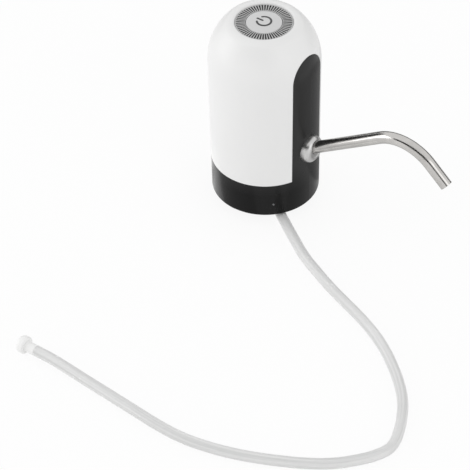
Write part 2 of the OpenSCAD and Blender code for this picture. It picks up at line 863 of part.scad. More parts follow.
module motor_screws() {
    color("silver") at_drive() for (s = [-1, 1]) translate([s * motor_screw_r, 0, z_plate_motor + screw_head_t])
        screw(motor_plate_t - screw_head_t + can_t + motor_screw_in);
}

// Gear pump

module pump_outline() {
    for (s = [-1, 1]) translate([pump_x, s * drive_y]) circle(pump_r);
    translate([pump_x - pump_r, -drive_y]) square([2 * pump_r, 2 * drive_y]);
    for (e = ears) translate([e[0], e[1]]) circle(ear_r);
    translate([pump_x - ear_r, -ear_y]) square([2 * ear_r, 2 * ear_y]);
    rotate(ear_bearing) translate([0, -ear_r]) square([ear_back, 2 * ear_r]);
}

module chamber_outline() {
    for (s = [-1, 1]) translate([pump_x, s * drive_y]) circle(chamber_r);
    translate([-inlet_d / 2, -port_w / 2]) square([outlet_x + outlet_d / 2 + inlet_d / 2, port_w]);
}

module pump_slice(low, high) {
    translate([0, 0, low]) linear_extrude(high - low) difference() {
        pump_outline();
        for (e = ears) translate([e[0], e[1]]) circle(d = clear_d);
    }
}

module motor_plate() {
    color("silver") difference() {
        pump_slice(z_plate_motor, z_motor);
        at_drive() translate([0, 0, z_plate_motor - past]) {
            cylinder(r = neck_r + slip, h = motor_plate_t + 2 * past);
            for (s = [-1, 1]) translate([s * motor_screw_r, 0, 0]) {
                cylinder(d = clear_d, h = motor_plate_t + 2 * past);
                cylinder(d = screw_head_d + 2 * slip, h = screw_head_t + past);
            }
        }
    }
}

module pump_body() {
    color("#d8d5cb") difference() {
        pump_slice(z_chamber, z_plate_motor);
        translate([0, 0, z_chamber - past]) linear_extrude(gear_w + 2 * gear_side + past) chamber_outline();
        at_drive() {
            translate([0, 0, z_roof - past]) cylinder(r = shaft_r + loose, h = roof_t + 2 * past);
            translate([0, 0, z_roof + seal_floor]) cylinder(d = seal_d + 2 * pressed, h = roof_t);
        }
        translate([pump_x, -drive_y, z_roof - past]) cylinder(d = pin_d + 2 * pressed, h = pin_seat + past);
    }
}

module pump_gasket() {
    color("#5b5d61") translate([0, 0, z_gasket]) linear_extrude(gasket_t) difference() {
        pump_outline();
        chamber_outline();
        for (e = ears) translate([e[0], e[1]]) circle(d = clear_d);
    }
}

// Ribbed hose end along -Z from z = 0
module barb_down(length) {
    stem_d = barb_d - 0.5;
    tooth = 1.8;
    pitch = 2.6;
    translate([0, 0, -length]) cylinder(d = stem_d, h = length);
    for (i = [0 : 2]) translate([0, 0, -length + i * pitch]) cylinder(d1 = stem_d, d2 = barb_d, h = tooth);
}

module pump_cover() {
    barb_to = tube_from + 2.4;
    color("#d8d5cb") difference() {
        union() {
            pump_slice(z_cover, z_gasket);
            translate([0, 0, z_cover]) barb_down(barb_len);
            translate([0, 0, outlet_z]) rod_x(barb_d / 2, pump_x + pump_r - past, barb_to);
        }
        translate([0, 0, z_cover - barb_len - past]) cylinder(d = inlet_d, h = barb_len + cover_t + 2 * past);
        translate([outlet_x, 0, outlet_z]) cylinder(d = outlet_d, h = cover_t);
        translate([0, 0, outlet_z]) rod_x(outlet_d / 2, outlet_x, barb_to + past);
        translate([pump_x, -drive_y, z_gasket - pin_seat]) cylinder(d = pin_d + 2 * pressed, h = reach);
    }
}

module pump_screws() {
    color("silver") for (e = ears) translate([e[0], e[1], z_motor]) mirror([0, 0, 1])
        screw(z_motor - z_cover + pump_screw_in);
}

module shaft_seal() {
    color("#3a3a3c") at_drive() tube(seal_d / 2, shaft_r + running, z_roof + seal_floor, z_plate_motor);
}

// Involute gear outline with a tooth centred on +X
function involute(a) = tan(a) * 180 / PI - a;
function tooth_half(r, base) = 90 / gear_teeth - backlash / 4 / gear_pitch_r * 180 / PI
    + involute(acos(base / gear_pitch_r)) - involute(acos(min(1, base / r)));
module gear_outline() {
    pressure = 25;
    base = gear_pitch_r * cos(pressure);
    root = gear_pitch_r - 1.25 * gear_module;
    steps = 5;
    rise = [for (i = [0 : steps]) base + (gear_tip_r - base) * i / steps];
    points = [for (t = [0 : gear_teeth - 1]) let (mid = t * 360 / gear_teeth) each concat(
        [[root, mid - tooth_half(base, base)]],
        [for (r = rise) [r, mid - tooth_half(r, base)]],
        [for (i = [steps : -1 : 0]) [rise[i], mid + tooth_half(rise[i], base)]],
        [[root, mid + tooth_half(base, base)]])];
    polygon([for (p = points) [p[0] * cos(p[1]), p[0] * sin(p[1])]]);
}

module gear(bore_r) {
    translate([0, 0, z_chamber + gear_side]) linear_extrude(gear_w) difference() {
        gear_outline();
        circle(bore_r);
    }
}

// The drive gear points a tooth at the idler, which meets it with a gap
module drive_gear() {
    color("ivory") at_drive() rotate(-90) gear(shaft_r + pressed);
}

module idler_gear() {
    color("ivory") translate([pump_x, -drive_y, 0]) rotate(90 + 180 / gear_teeth) gear(pin_d / 2 + running);
}

module idler_pin() {
    low = z_gasket - pin_seat;
    color("lightsteelblue") translate([pump_x, -drive_y, low])
        cylinder(d = pin_d, h = z_roof + pin_seat - low - gear_side);
}

module outlet_tube() {
    color("#dcdcd6") translate([0, 0, outlet_z]) difference() {
        rod_x(tube_r, tube_from, tube_to);
        rod_x(barb_d / 2 + pressed, tube_from - past, tube_to + past);
    }
}

// Spout, its socket, seals and collar

module spout_socket() {
    barb_from = tube_from + 3;
    color("#3a3b3e") difference() {
        union() {
            on_spout() rod_x(socket_r, -socket_in, socket_nose);
            translate([0, 0, outlet_z]) rod_x(barb_d / 2, barb_from, socket_end_x());
        }
        on_spout() rod_x(spout_r + 2 * running, -spout_in, socket_nose + past);
        on_spout() rod_x(spout_r - spout_step, -socket_in + spout_step, -spout_in + past);
        translate([0, 0, outlet_z]) rod_x(outlet_d / 2, barb_from - past, socket_end_x());
        on_spout() for (t = spout_seal_at) rod_x(spout_r + spout_seal_depth + pressed, t, t + spout_seal_t);
    }
}

// Where the outlet's level meets the spout's axis
function socket_end_x() = spout_foot_x - (spout_foot_z - outlet_z) / tan(spout_rise);

module spout_seals() {
    color("#9c3d30") on_spout() for (t = spout_seal_at) difference() {
        rod_x(spout_r + spout_seal_depth, t + pressed, t + spout_seal_t - pressed);
        rod_x(spout_r + running, t - past, t + spout_seal_t + past);
    }
}

module spout_collar() {
    r = collar_d / 2;
    root = 3;
    shoulder = root + collar_h - collar_round;
    color("silver") difference() {
        translate([spout_foot_x - root, 0, spout_foot_z]) rotate([0, 90, 0]) rotate_extrude() {
            square([r, shoulder]);
            translate([0, shoulder - past]) square([r - collar_round, collar_round + past]);
            intersection() {
                translate([r - collar_round, shoulder]) circle(collar_round);
                square([r, reach]);
            }
        }
        body_solid(-pressed);
        on_spout() rod_x(socket_r + slip, -socket_in, socket_nose + slip);
        on_spout() rod_x(spout_r + loose, 0, reach);
    }
}

// The tip is drawn down a hair where it leaves the bend
tip_step = 0.05;
tip_lap = 0.2;
module spout_run_of(r, extra) {
    rod_x(r, -spout_in + spout_end_gap - extra, spout_run);
    translate([spout_run, 0, -spout_bend_r]) {
        rotate([90, 0, 0]) rotate_extrude(angle = spout_bend, start = 90 - spout_bend)
            translate([spout_bend_r, 0]) circle(r);
        rotate([0, spout_bend, 0]) translate([0, 0, spout_bend_r])
            rod_x(r - tip_step, -tip_lap, spout_tip + extra);
    }
}

module spout_tube() {
    color("silver") on_spout() difference() {
        spout_run_of(spout_r, 0);
        spout_run_of(spout_r - spout_wall, past);
    }
}

// Hose: from the inlet barb down, out between two fingers and along the table to its foot
hose_route = [[0, 0, 45.5], [0, 0, 38], [0, 0, 31], [3, -2, 18], [11.2, -7.8, 8], [23.4, -16.3, 3.8],
              [34.2, -23.8, 3.55], [47.8, -32.9, 3.55], [61.5, -41.7, 3.55], [77.2, -49.4, 3.55],
              [93, -56.4, 3.55], [109.8, -62.8, 3.55], [126.5, -69.2, 3.55], [141.3, -76.2, 3.55],
              [155, -84.6, 3.55], [166.8, -93.5, 3.55], [177.5, -103, 3.55], [187.2, -113.7, 3.55],
              [194.9, -125.6, 3.55], [201, -138.4, 3.55], [203.2, -144.9, 3.55], [204, -152, 3.55],
              [201.1, -160.7, 3.55], [192.5, -173.1, 3.55], [182.3, -183.5, 3.55], [169.3, -192.5, 3.55],
              [156.6, -199.4, 3.55], [143.2, -205.7, 3.55], [129.4, -211, 3.55], [114.2, -215.3, 3.55],
              [98.2, -218.1, 3.55], [80.2, -218.4, 3.55], [60.1, -216.9, 3.55], [40.1, -215.3, 3.55],
              [20.3, -214, 3.9], [4.6, -213.4, 5], [-9.2, -213, 5.75], [-21.2, -213, 5.75]];
hose_sides = 12;
hose_steps = 2;

// Smooth curve through the route's points
function route_point(i) = hose_route[max(0, min(len(hose_route) - 1, i))];
function route_at(i, t) =
    let (a = route_point(i - 1), b = route_point(i), c = route_point(i + 1), d = route_point(i + 2))
    0.5 * (2 * b + (c - a) * t + (2 * a - 5 * b + 4 * c - d) * t * t + (3 * b - a - 3 * c + d) * t * t * t);
hose_line = concat([for (i = [0 : len(hose_route) - 2])
                        for (s = [0 : hose_steps - 1]) route_at(i, s / hose_steps)],
                   [route_point(len(hose_route) - 1)]);
function unit(v) = v / norm(v);
function heading(i) = let (last = len(hose_line) - 1)
    i == 0 ? [0, 0, -1] : i == last ? [-1, 0, 0] : unit(hose_line[i + 1] - hose_line[i - 1]);
// Sideways direction across the hose, level with the table
function across(i) = let (h = heading(i), flat = norm([h[0], h[1]]))
    flat < 0.05 ? [-sin(hose_bearing), cos(hose_bearing), 0] : [-h[1], h[0], 0] / flat;
function ring(i, r) = let (s = across(i), u = cross(heading(i), s))
    [for (k = [0 : hose_sides - 1]) let (turn = k * 360 / hose_sides)
        hose_line[i] + r * (cos(turn) * s + sin(turn) * u)];

module hose() {
    n = len(hose_line);
    m = hose_sides;
    bore_r = hose_bore / 2 / cos(180 / m);
    points = concat([for (i = [0 : n - 1]) each ring(i, hose_d / 2)],
                    [for (i = [0 : n - 1]) each ring(i, bore_r)]);
    inner = n * m;
    last = (n - 1) * m;
    walls = [for (i = [0 : n - 2]) for (k = [0 : m - 1]) let (a = i * m + k, b = i * m + (k + 1) % m)
        each [[a, a + m, b + m], [a, b + m, b],
              [inner + a, inner + b + m, inner + a + m], [inner + a, inner + b, inner + b + m]]];
    ends = [for (k = [0 : m - 1]) let (a = k, b = (k + 1) % m)
        each [[a, b, inner + b], [a, inner + b, inner + a],
              [last + a, inner + last + b, last + b], [last + a, inner + last + a, inner + last + b]]];
    color("#e4e4e0") polyhedron(points, concat(walls, ends));
}

module hose_foot() {
    end = route_point(len(hose_route) - 1);
    edge = 3.4;
    under = 0.8;
    spigot = 6;
    spigot_d = hose_bore - 0.5;
    way_d = hose_bore - 1.6;
    slot_w = 1.8;
    slot_t = 1.6;
    head_r = foot_d / 2;
    color("white") translate(end) rotate([0, -90, 0]) difference() {
        union() {
            translate([0, 0, -spigot]) cylinder(d = spigot_d, h = spigot + past);
            cylinder(d = hose_d, h = foot_neck + past);
            translate([0, 0, foot_neck]) rotate_extrude() {
                square([head_r - edge, foot_t]);
                square([head_r - under, foot_t - edge]);
                translate([0, under]) square([head_r, foot_t - edge - under]);
                intersection() {
                    translate([head_r - edge, foot_t - edge]) circle(edge);
                    square([reach, foot_t]);
                }
                intersection() {
                    translate([head_r - under, under]) circle(under);
                    square([reach, foot_t]);
                }
            }
        }
        translate([0, 0, -spigot - past]) cylinder(d = way_d, h = foot_neck + foot_t + spigot + 2 * past);
        for (a = [0, 90]) rotate(a) translate([-foot_d, -slot_w / 2, foot_neck + foot_t - slot_t])
            cube([2 * foot_d, slot_w, slot_t + past]);
    }
}

dome_shell();
base_body();
neck_adapter();
neck_seal();
adapter_screws();
shell_screws();
button_ring();
power_button();
power_sign();
button_carrier();
button_board();
carrier_screws();
switch_case();
switch_plunger();
main_board();
board_chips();
charge_board();
usb_socket();
charge_led();
charge_light();
battery_cell();
battery_holder();
battery_tabs();
wires();
motor_can();
motor_magnets();
motor_end_cap();
motor_bushes();
motor_shaft();
motor_armature();
motor_screws();
motor_plate();
pump_body();
pump_gasket();
pump_cover();
pump_screws();
inlet_seal();
shaft_seal();
drive_gear();
idler_gear();
idler_pin();
outlet_tube();
spout_socket();
spout_seals();
spout_collar();
spout_tube();
hose();
hose_foot();
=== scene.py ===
# %% [markdown]
# # An electric water jug pump
# The pump stands upright: a white dome on a black base, a round push button on top, a bent steel
# spout with a bright collar, and a milky silicone hose that lies on the floor and ends in a white foot.
# The CAD model is loaded as a fixed frame. Pieces whose CAD shape is right keep it and get a finish here,
# and pieces with finer forms, such as the ridged ring, are modelled new and stand in for their CAD node.

# %% Load the frame
import json
import math

import bmesh
import bpy
from mathutils import Matrix, Quaternion, Vector


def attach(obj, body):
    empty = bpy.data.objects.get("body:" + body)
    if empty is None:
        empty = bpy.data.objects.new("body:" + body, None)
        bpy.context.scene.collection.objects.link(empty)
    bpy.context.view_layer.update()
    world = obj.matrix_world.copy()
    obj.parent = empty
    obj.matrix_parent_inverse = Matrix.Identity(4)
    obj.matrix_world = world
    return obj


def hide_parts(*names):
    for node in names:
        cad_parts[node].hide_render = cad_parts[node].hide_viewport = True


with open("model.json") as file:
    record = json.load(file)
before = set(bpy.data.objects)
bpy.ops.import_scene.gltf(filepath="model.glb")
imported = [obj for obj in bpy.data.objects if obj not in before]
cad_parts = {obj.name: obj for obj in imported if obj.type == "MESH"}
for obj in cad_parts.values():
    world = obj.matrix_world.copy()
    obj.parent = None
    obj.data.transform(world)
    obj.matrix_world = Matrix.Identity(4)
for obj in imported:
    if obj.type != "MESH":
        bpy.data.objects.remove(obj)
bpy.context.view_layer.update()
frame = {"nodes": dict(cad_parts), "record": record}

MM = 0.001
nodes = frame["nodes"]
scene = bpy.context.scene

# %% [markdown]
# ## Camera
# The photograph was taken from well above and far away: the rim's ellipse gives the height of the view,
# and the spout's slant gives the turn. A long lens at two metres keeps upright edges nearly parallel.
# The camera looks along minus its own Z, so `to_track_quat` aims it, and a small roll levels the base.

# %% Camera
PHOTO_TARGET = Vector((16.08, -55.53, 8)) * MM
AZIMUTH, ELEVATION, ROLL = (math.radians(a) for a in (37.4, 41.65, -1.09))
CAMERA_DISTANCE, CLIP_END = 1.946, 20
LENS_MM, SENSOR_MM = 229.8, 36

to_camera = Vector((math.sin(AZIMUTH) * math.cos(ELEVATION),
                    -math.cos(AZIMUTH) * math.cos(ELEVATION),
                    math.sin(ELEVATION)))
camera_data = bpy.data.cameras.new("photo_camera")
camera_data.sensor_width = SENSOR_MM
camera_data.lens = LENS_MM
camera_data.clip_end = CLIP_END
camera = bpy.data.objects.new("photo_camera", camera_data)
camera.location = PHOTO_TARGET + CAMERA_DISTANCE * to_camera
camera.rotation_mode = "QUATERNION"
camera.rotation_quaternion = (-to_camera).to_track_quat("-Z", "Y") @ Quaternion((0, 0, 1), ROLL)
scene.collection.objects.link(camera)
scene.camera = camera
scene.view_settings.view_transform = "Standard"
print("camera at", [round(c, 3) for c in camera.location])

# %% [markdown]
# ## Floor and light
# A product photograph like this has a white translucent table and large soft boxes. The floor answers the
# rays of the camera, of gloss and of glass with white, mixed with a little plain diffuse so that a soft
# shadow stays under the pump. It lets half of the soft light through, as an acrylic table does, and its
# underside is clear, so the pump can also be looked at from below. The world is white for the same rays
# and dimmer for the light that falls on the object.

# %% Node helpers
def link(tree, source, target):
    """Links one node's output to another node's input."""
    tree.links.new(source, target)


def feed(tree, socket, value):
    """Links an output to an input, or sets a plain value on it."""
    if isinstance(value, bpy.types.NodeSocket):
        link(tree, value, socket)
    else:
        socket.default_value = value


def math_node(tree, operation, *values, clamp=False):
    """One Math node; each of its values is a socket or a number."""
    node = tree.nodes.new("ShaderNodeMath")
    node.operation = operation
    node.use_clamp = clamp
    for socket, value in zip(node.inputs, values):
        feed(tree, socket, value)
    return node.outputs[0]


def seen_directly(tree):
    """1 for rays of the camera, of gloss and of glass, and 0 for the rays that carry soft light."""
    path = tree.nodes.new("ShaderNodeLightPath")
    seen = math_node(tree, "MAXIMUM", path.outputs["Is Camera Ray"], path.outputs["Is Glossy Ray"])
    return math_node(tree, "MAXIMUM", seen, path.outputs["Is Transmission Ray"])


# %% Floor finish
FLOOR_GLOW, FLOOR_CLEAR = 0.9, 0.5

floor_finish = bpy.data.materials.new("pale_floor")
floor_finish.use_nodes = True
tree = floor_finish.node_tree
tree.nodes.clear()
glow = tree.nodes.new("ShaderNodeEmission")
glow.inputs["Color"].default_value = (1, 1, 1, 1)
matt = tree.nodes.new("ShaderNodeBsdfDiffuse")
matt.inputs["Color"].default_value = (0.95, 0.95, 0.95, 1)
blend = tree.nodes.new("ShaderNodeMixShader")
seen = seen_directly(tree)
link(tree, math_node(tree, "MULTIPLY", seen, FLOOR_GLOW), blend.inputs[0])
link(tree, matt.outputs[0], blend.inputs[1])
link(tree, glow.outputs[0], blend.inputs[2])
table = tree.nodes.new("ShaderNodeMixShader")
soft = math_node(tree, "MULTIPLY", math_node(tree, "SUBTRACT", 1.0, seen), FLOOR_CLEAR)
below = tree.nodes.new("ShaderNodeNewGeometry").outputs["Backfacing"]
link(tree, math_node(tree, "MAXIMUM", soft, below), table.inputs[0])
link(tree, blend.outputs[0], table.inputs[1])
link(tree, tree.nodes.new("ShaderNodeBsdfTransparent").outputs[0], table.inputs[2])
link(tree, table.outputs[0], tree.nodes.new("ShaderNodeOutputMaterial").inputs["Surface"])
print("floor finish:", len(tree.nodes), "nodes")

# %% Floor
FLOOR_REACH = 6

bm = bmesh.new()
bmesh.ops.create_grid(bm, x_segments=2, y_segments=2, size=FLOOR_REACH)
floor_mesh = bpy.data.meshes.new("floor")
bm.to_mesh(floor_mesh)
bm.free()
floor_mesh.materials.append(floor_finish)
floor = bpy.data.objects.new("floor", floor_mesh)
scene.collection.objects.link(floor)
print("floor:", len(floor_mesh.polygons), "faces")

# %% World and lamps
WORLD_LIGHT = 0.83
LAMP_AIM = Vector((0, 0, 60))

world = bpy.data.worlds.new("white_sweep")
world.use_nodes = True
scene.world = world
tree = world.node_tree
back = tree.nodes["Background"]
back.inputs["Color"].default_value = (1, 1, 1, 1)
level = math_node(tree, "MULTIPLY_ADD", seen_directly(tree), 1 - WORLD_LIGHT, WORLD_LIGHT)
link(tree, level, back.inputs["Strength"])


def soft_box(name, place, size, watts):
    """A square area lamp with its size in metres, at a place in mm, turned to the pump's middle."""
    data = bpy.data.lights.new(name, "AREA")
    data.size = size
    data.energy = watts
    lamp = bpy.data.objects.new(name, data)
    lamp.location = Vector(place) * MM
    lamp.rotation_euler = (LAMP_AIM - Vector(place)).to_track_quat("-Z", "Y").to_euler()
    scene.collection.objects.link(lamp)


soft_box("key_left", (-1150, -750, 400), size=0.9, watts=4.4)
soft_box("fill_right", (1200, -300, 700), size=0.9, watts=1.8)

# %% [markdown]
# Polished metal shows its surroundings, and in an all-white studio it would look like paper.
# Photographers stand dark cards round a bright tube to draw dark lines along it. Grey cards that lie on
# the floor keep the black plastic from washing out, and a bright one at the left draws the light band on
# the base's edge. These cards are part of the stage and only gloss sees them.

# %% Cards
UPWARDS = (0, 0, 1)


def card(name, place, facing, size, shade):
    """A card of one even shade; its place and its width and height are in mm."""
    paper = bpy.data.materials.new(name)
    paper.use_nodes = True
    shader = paper.node_tree.nodes["Principled BSDF"]
    shader.inputs["Base Color"].default_value = (0, 0, 0, 1)
    shader.inputs["Specular IOR Level"].default_value = 0
    shader.inputs["Emission Color"].default_value = (1, 1, 1, 1)
    shader.inputs["Emission Strength"].default_value = shade
    bm = bmesh.new()
    bmesh.ops.create_grid(bm, x_segments=1, y_segments=1, size=0.5)
    bmesh.ops.scale(bm, verts=bm.verts[:], vec=(size[0] * MM, size[1] * MM, 1))
    bmesh.ops.transform(bm, verts=bm.verts[:], matrix=Matrix.Translation(Vector(place) * MM)
                        @ Vector(facing).to_track_quat("Z", "Y").to_matrix().to_4x4())
    mesh = bpy.data.meshes.new(name)
    bm.to_mesh(mesh)
    bm.free()
    mesh.materials.append(paper)
    sheet = bpy.data.objects.new(name, mesh)
    scene.collection.objects.link(sheet)
    sheet.visible_camera = sheet.visible_diffuse = sheet.visible_shadow = sheet.visible_transmission = False


card("card_at_lens", (200, -961, 854), (0.15, -0.72, 0.64), size=(2400, 600), shade=0.01)
card("card_behind", (-349, 279, 46), (-0.75, 0.6, 0.1), size=(600, 300), shade=0.01)
card("card_on_floor", (70, 120, 1), UPWARDS, size=(240, 180), shade=0.38)
card("card_by_base", (70, 5, 1), UPWARDS, size=(240, 50), shade=0.72)
card("card_at_left", (-44, -6, 1), UPWARDS, size=(50, 65), shade=1.45)
card("card_at_front", (-25, -79, 1), UPWARDS, size=(90, 81), shade=0.68)
card("card_at_back", (100, 480, 110), (0, -1, 0), size=(650, 220), shade=0.1)

# %% [markdown]
# ## Shared surface effects
# Moulded plastic is never one flat colour: its shade drifts a little, its gloss varies, it has a fine
# spark-eroded grain, and its edges are slightly rounded and rubbed. Worked metal has polishing marks and
# faint stains. These effects are built once as node groups with named inputs, and each finish uses them
# with its own values. The Bevel node rounds the shading of CAD edges, so their meshes stay as they are.

# %% Group helpers
MIX_FACTOR, MIX_A, MIX_B, MIX_RESULT = 0, 6, 7, 2


def new_group(name, inputs, outputs):
    """A shader node group with float or colour sockets, and its inner tree's two ends."""
    group = bpy.data.node_groups.new(name, "ShaderNodeTree")
    for label, value in inputs.items():
        kind = "NodeSocketFloat" if isinstance(value, (int, float)) else "NodeSocketColor"
        group.interface.new_socket(name=label, in_out="INPUT", socket_type=kind).default_value = value
    for label, kind in outputs.items():
        group.interface.new_socket(name=label, in_out="OUTPUT", socket_type="NodeSocket" + kind)
    return group, group.nodes.new("NodeGroupInput").outputs, group.nodes.new("NodeGroupOutput").inputs


def noise(tree, scale, detail, rough=0.55):
    """Noise on object coordinates; the scale is in 1/m."""
    node = tree.nodes.new("ShaderNodeTexNoise")
    link(tree, tree.nodes.new("ShaderNodeTexCoord").outputs["Object"], node.inputs["Vector"])
    feed(tree, node.inputs["Scale"], scale)
    node.inputs["Detail"].default_value = detail
    node.inputs["Roughness"].default_value = rough
    return node.outputs["Fac"]


def mix_colour(tree, factor, first, second):
    """A Mix node for colours; its factor and its colours are sockets or plain values."""
    node = tree.nodes.new("ShaderNodeMix")
    node.data_type = "RGBA"
    for place, value in ((MIX_FACTOR, factor), (MIX_A, first), (MIX_B, second)):
        feed(tree, node.inputs[place], value)
    return node.outputs[MIX_RESULT]


def ramp(tree, value, low, high):
    """0 below a low value and 1 above a high one, with a straight rise between them."""
    node = tree.nodes.new("ShaderNodeMapRange")
    node.inputs["From Min"].default_value = low
    node.inputs["From Max"].default_value = high
    link(tree, value, node.inputs["Value"])
    return node.outputs[0]


# %% Effects that both groups share
def rounded_edges(group, radius):
    """A normal that turns gradually over edges, as if they had a radius."""
    edge = group.nodes.new("ShaderNodeBevel")
    edge.samples = 4
    link(group, radius, edge.inputs["Radius"])
    return edge.outputs[0]


def relief(group, height, depth, normal):
    """Fine relief of some depth on top of a normal."""
    bump = group.nodes.new("ShaderNodeBump")
    link(group, depth, bump.inputs["Distance"])
    link(group, height, bump.inputs["Height"])
    link(group, normal, bump.inputs["Normal"])
    return bump.outputs[0]


def uneven_gloss(group, given, coarse, fine):
    """The given roughness, spread a little by two noises."""
    uneven = math_node(group, "SUBTRACT", math_node(group, "ADD", coarse, fine), 1.0)
    spread = math_node(group, "MULTIPLY", uneven, given["Gloss Spread"])
    return math_node(group, "ADD", spread, given["Roughness"], clamp=True)


# %% The moulded skin
CLOUD_SCALE, RUB_SCALE, EDGE_GAIN = 45.0, 300.0, 5.0


def moulded_skin():
    """Shade drift, uneven gloss, fine grain, and rounded and rubbed edges."""
    group, given, out = new_group(
        "moulded_skin",
        {"Colour": (0.8, 0.8, 0.8, 1), "Drift": 0.04, "Rubbed Colour": (0.85, 0.85, 0.85, 1),
         "Rubbed": 0.3, "Roughness": 0.4, "Gloss Spread": 0.1, "Grain Scale": 2500.0,
         "Grain Depth": 0.00001, "Edge": 0.0004},
        {"Colour": "Color", "Roughness": "Float", "Normal": "Vector"})
    cloud = noise(group, CLOUD_SCALE, 4.0)
    grain = noise(group, given["Grain Scale"], 2.0)

    rounded = rounded_edges(group, given["Edge"])
    dot = group.nodes.new("ShaderNodeVectorMath")
    dot.operation = "DOT_PRODUCT"
    link(group, rounded, dot.inputs[0])
    link(group, group.nodes.new("ShaderNodeNewGeometry").outputs["Normal"], dot.inputs[1])
    turned_away = math_node(group, "SUBTRACT", 1.0, dot.outputs["Value"])
    edges = math_node(group, "MULTIPLY", turned_away, EDGE_GAIN, clamp=True)

    darker = mix_colour(group, given["Drift"], given["Colour"], (0, 0, 0, 1))
    cloudy = mix_colour(group, cloud, darker, given["Colour"])
    rub = math_node(group, "MULTIPLY", edges, given["Rubbed"])
    rub = math_node(group, "MULTIPLY", rub, noise(group, RUB_SCALE, 3.0))
    link(group, mix_colour(group, rub, cloudy, given["Rubbed Colour"]), out["Colour"])
    link(group, uneven_gloss(group, given, cloud, grain), out["Roughness"])
    link(group, relief(group, grain, given["Grain Depth"], rounded), out["Normal"])
    return group


MOULDED = moulded_skin()
print("group:", MOULDED.name, len(MOULDED.nodes), "nodes")

# %% The worked metal
STAIN_SCALE, STAIN_BROWN = 120.0, (0.12, 0.115, 0.11, 1)


def worked_metal():
    """Fine polishing marks, faint stains and uneven gloss of drawn or plated metal."""
    group, given, out = new_group(
        "worked_metal",
        {"Colour": (0.6, 0.6, 0.6, 1), "Stain": 0.15, "Roughness": 0.2, "Gloss Spread": 0.15,
         "Mark Scale": 900.0, "Mark Depth": 0.000004, "Edge": 0.0003},
        {"Colour": "Color", "Roughness": "Float", "Normal": "Vector"})
    cloud = noise(group, STAIN_SCALE, 5.0)
    marks = noise(group, given["Mark Scale"], 3.0, rough=0.7)
    dull = mix_colour(group, given["Stain"], given["Colour"], STAIN_BROWN)
    link(group, mix_colour(group, cloud, given["Colour"], dull), out["Colour"])
    link(group, uneven_gloss(group, given, cloud, marks), out["Roughness"])
    link(group, relief(group, marks, given["Mark Depth"], rounded_edges(group, given["Edge"])), out["Normal"])
    return group


METAL = worked_metal()
print("group:", METAL.name, len(METAL.nodes), "nodes")


# %% Finish helpers
def new_finish(name, group, values, shader_values):
    """A material whose Principled shader is fed by a surface group; an underscore in a label is a space."""
    finish = bpy.data.materials.new(name)
    finish.use_nodes = True
    tree = finish.node_tree
    shader = tree.nodes["Principled BSDF"]
    skin = tree.nodes.new("ShaderNodeGroup")
    skin.node_tree = group
    for label, value in values.items():
        socket = skin.inputs[label.replace("_", " ")]
        socket.default_value = (*value, 1) if isinstance(value, tuple) else value
    for output, target in (("Colour", "Base Color"), ("Roughness", "Roughness"), ("Normal", "Normal")):
        link(tree, skin.outputs[output], shader.inputs[target])
    for label, value in shader_values.items():
        shader.inputs[label.replace("_", " ")].default_value = value
    return finish


def moulded(name, colour, roughness, rubbed=None, shader=None, **values):
    """A finish of moulded plastic or rubber; rubbed is the colour of its worn edges."""
    values = {"Colour": colour, "Roughness": roughness, "Rubbed_Colour": rubbed or colour, **values}
    return new_finish(name, MOULDED, values, shader or {})


def metal(name, colour, roughness, **values):
    """A finish of drawn, ground or plated metal."""
    return new_finish(name, METAL, {"Colour": colour, "Roughness": roughness, **values}, {"Metallic": 1.0})


def skin_colour(finish):
    """The socket that takes a finish's own colour."""
    return next(n for n in finish.node_tree.nodes if n.type == "GROUP").inputs["Colour"]


# %% [markdown]
# ## Finishes
# One finish for each material of the real pump: white and black plastic outside, natural and coloured
# plastics, boards, rubbers and metals inside, where they show only when the pump is opened.

# %% Outer finishes
# The skirt's deeper black is a painted shade, and the strip's greyer black is painted light.
SKIRT_BLACK_PAINTED_SHADE, STRIP_BLACK_PAINTED_LIGHT = (0.005, 0.005, 0.005), (0.032, 0.032, 0.032)
# The groove colour is a painted shade in the recesses; the ridge colour is the ring's own grey.
GROOVE_PAINTED_SHADE, RIDGE_LIGHT = (0.012, 0.012, 0.012), (0.62, 0.62, 0.62)
WORN_BLACK = (0.09, 0.09, 0.09)

white_shell = moulded("white_shell", (0.86, 0.86, 0.857), 0.4, Drift=0.02, Gloss_Spread=0.08,
                      Grain_Scale=1800.0, Grain_Depth=0.000004)
black_base = moulded("black_base", SKIRT_BLACK_PAINTED_SHADE, 0.24, rubbed=WORN_BLACK, Rubbed=0.7, Drift=0.3,
                     Gloss_Spread=0.12, Grain_Scale=2200.0, Grain_Depth=0.000006,
                     shader={"Specular_IOR_Level": 0.17})
black_adapter = moulded("black_adapter", (0.016, 0.016, 0.0165), 0.42, rubbed=WORN_BLACK, Rubbed=0.6,
                        Drift=0.3, Grain_Scale=1800.0, Grain_Depth=0.00001,
                        shader={"Specular_IOR_Level": 0.35})
ring_grey = moulded("ring_grey", RIDGE_LIGHT, 0.42, Rubbed=0.0, Drift=0.2, Grain_Scale=2600.0, Edge=0.00005)
bezel_grey = moulded("bezel_grey", (0.66, 0.66, 0.66), 0.3, Drift=0.06, Edge=0.0001)
button_grey = moulded("button_grey", (0.68, 0.68, 0.682), 0.38, Drift=0.05, Grain_Scale=3000.0, Edge=0.0002)
sign_grey = moulded("sign_grey", (0.035, 0.035, 0.037), 0.35, Drift=0.2, Edge=0.00005)
foot_white = moulded("foot_white", (0.92, 0.92, 0.915), 0.4, Drift=0.04, Grain_Depth=0.000008)
light_guide = moulded("light_guide", (0.2, 0.204, 0.208), 0.25, Drift=0.05, Edge=0.0002,
                      shader={"Transmission_Weight": 0.4, "IOR": 1.5})
spout_steel = metal("spout_steel", (0.68, 0.665, 0.645), 0.2, Stain=0.45, Gloss_Spread=0.2,
                    Mark_Depth=0.00001)
collar_chrome = metal("collar_chrome", (0.62, 0.615, 0.61), 0.33, Stain=0.12, Gloss_Spread=0.1)
print("materials of stage and outside:", len(bpy.data.materials))
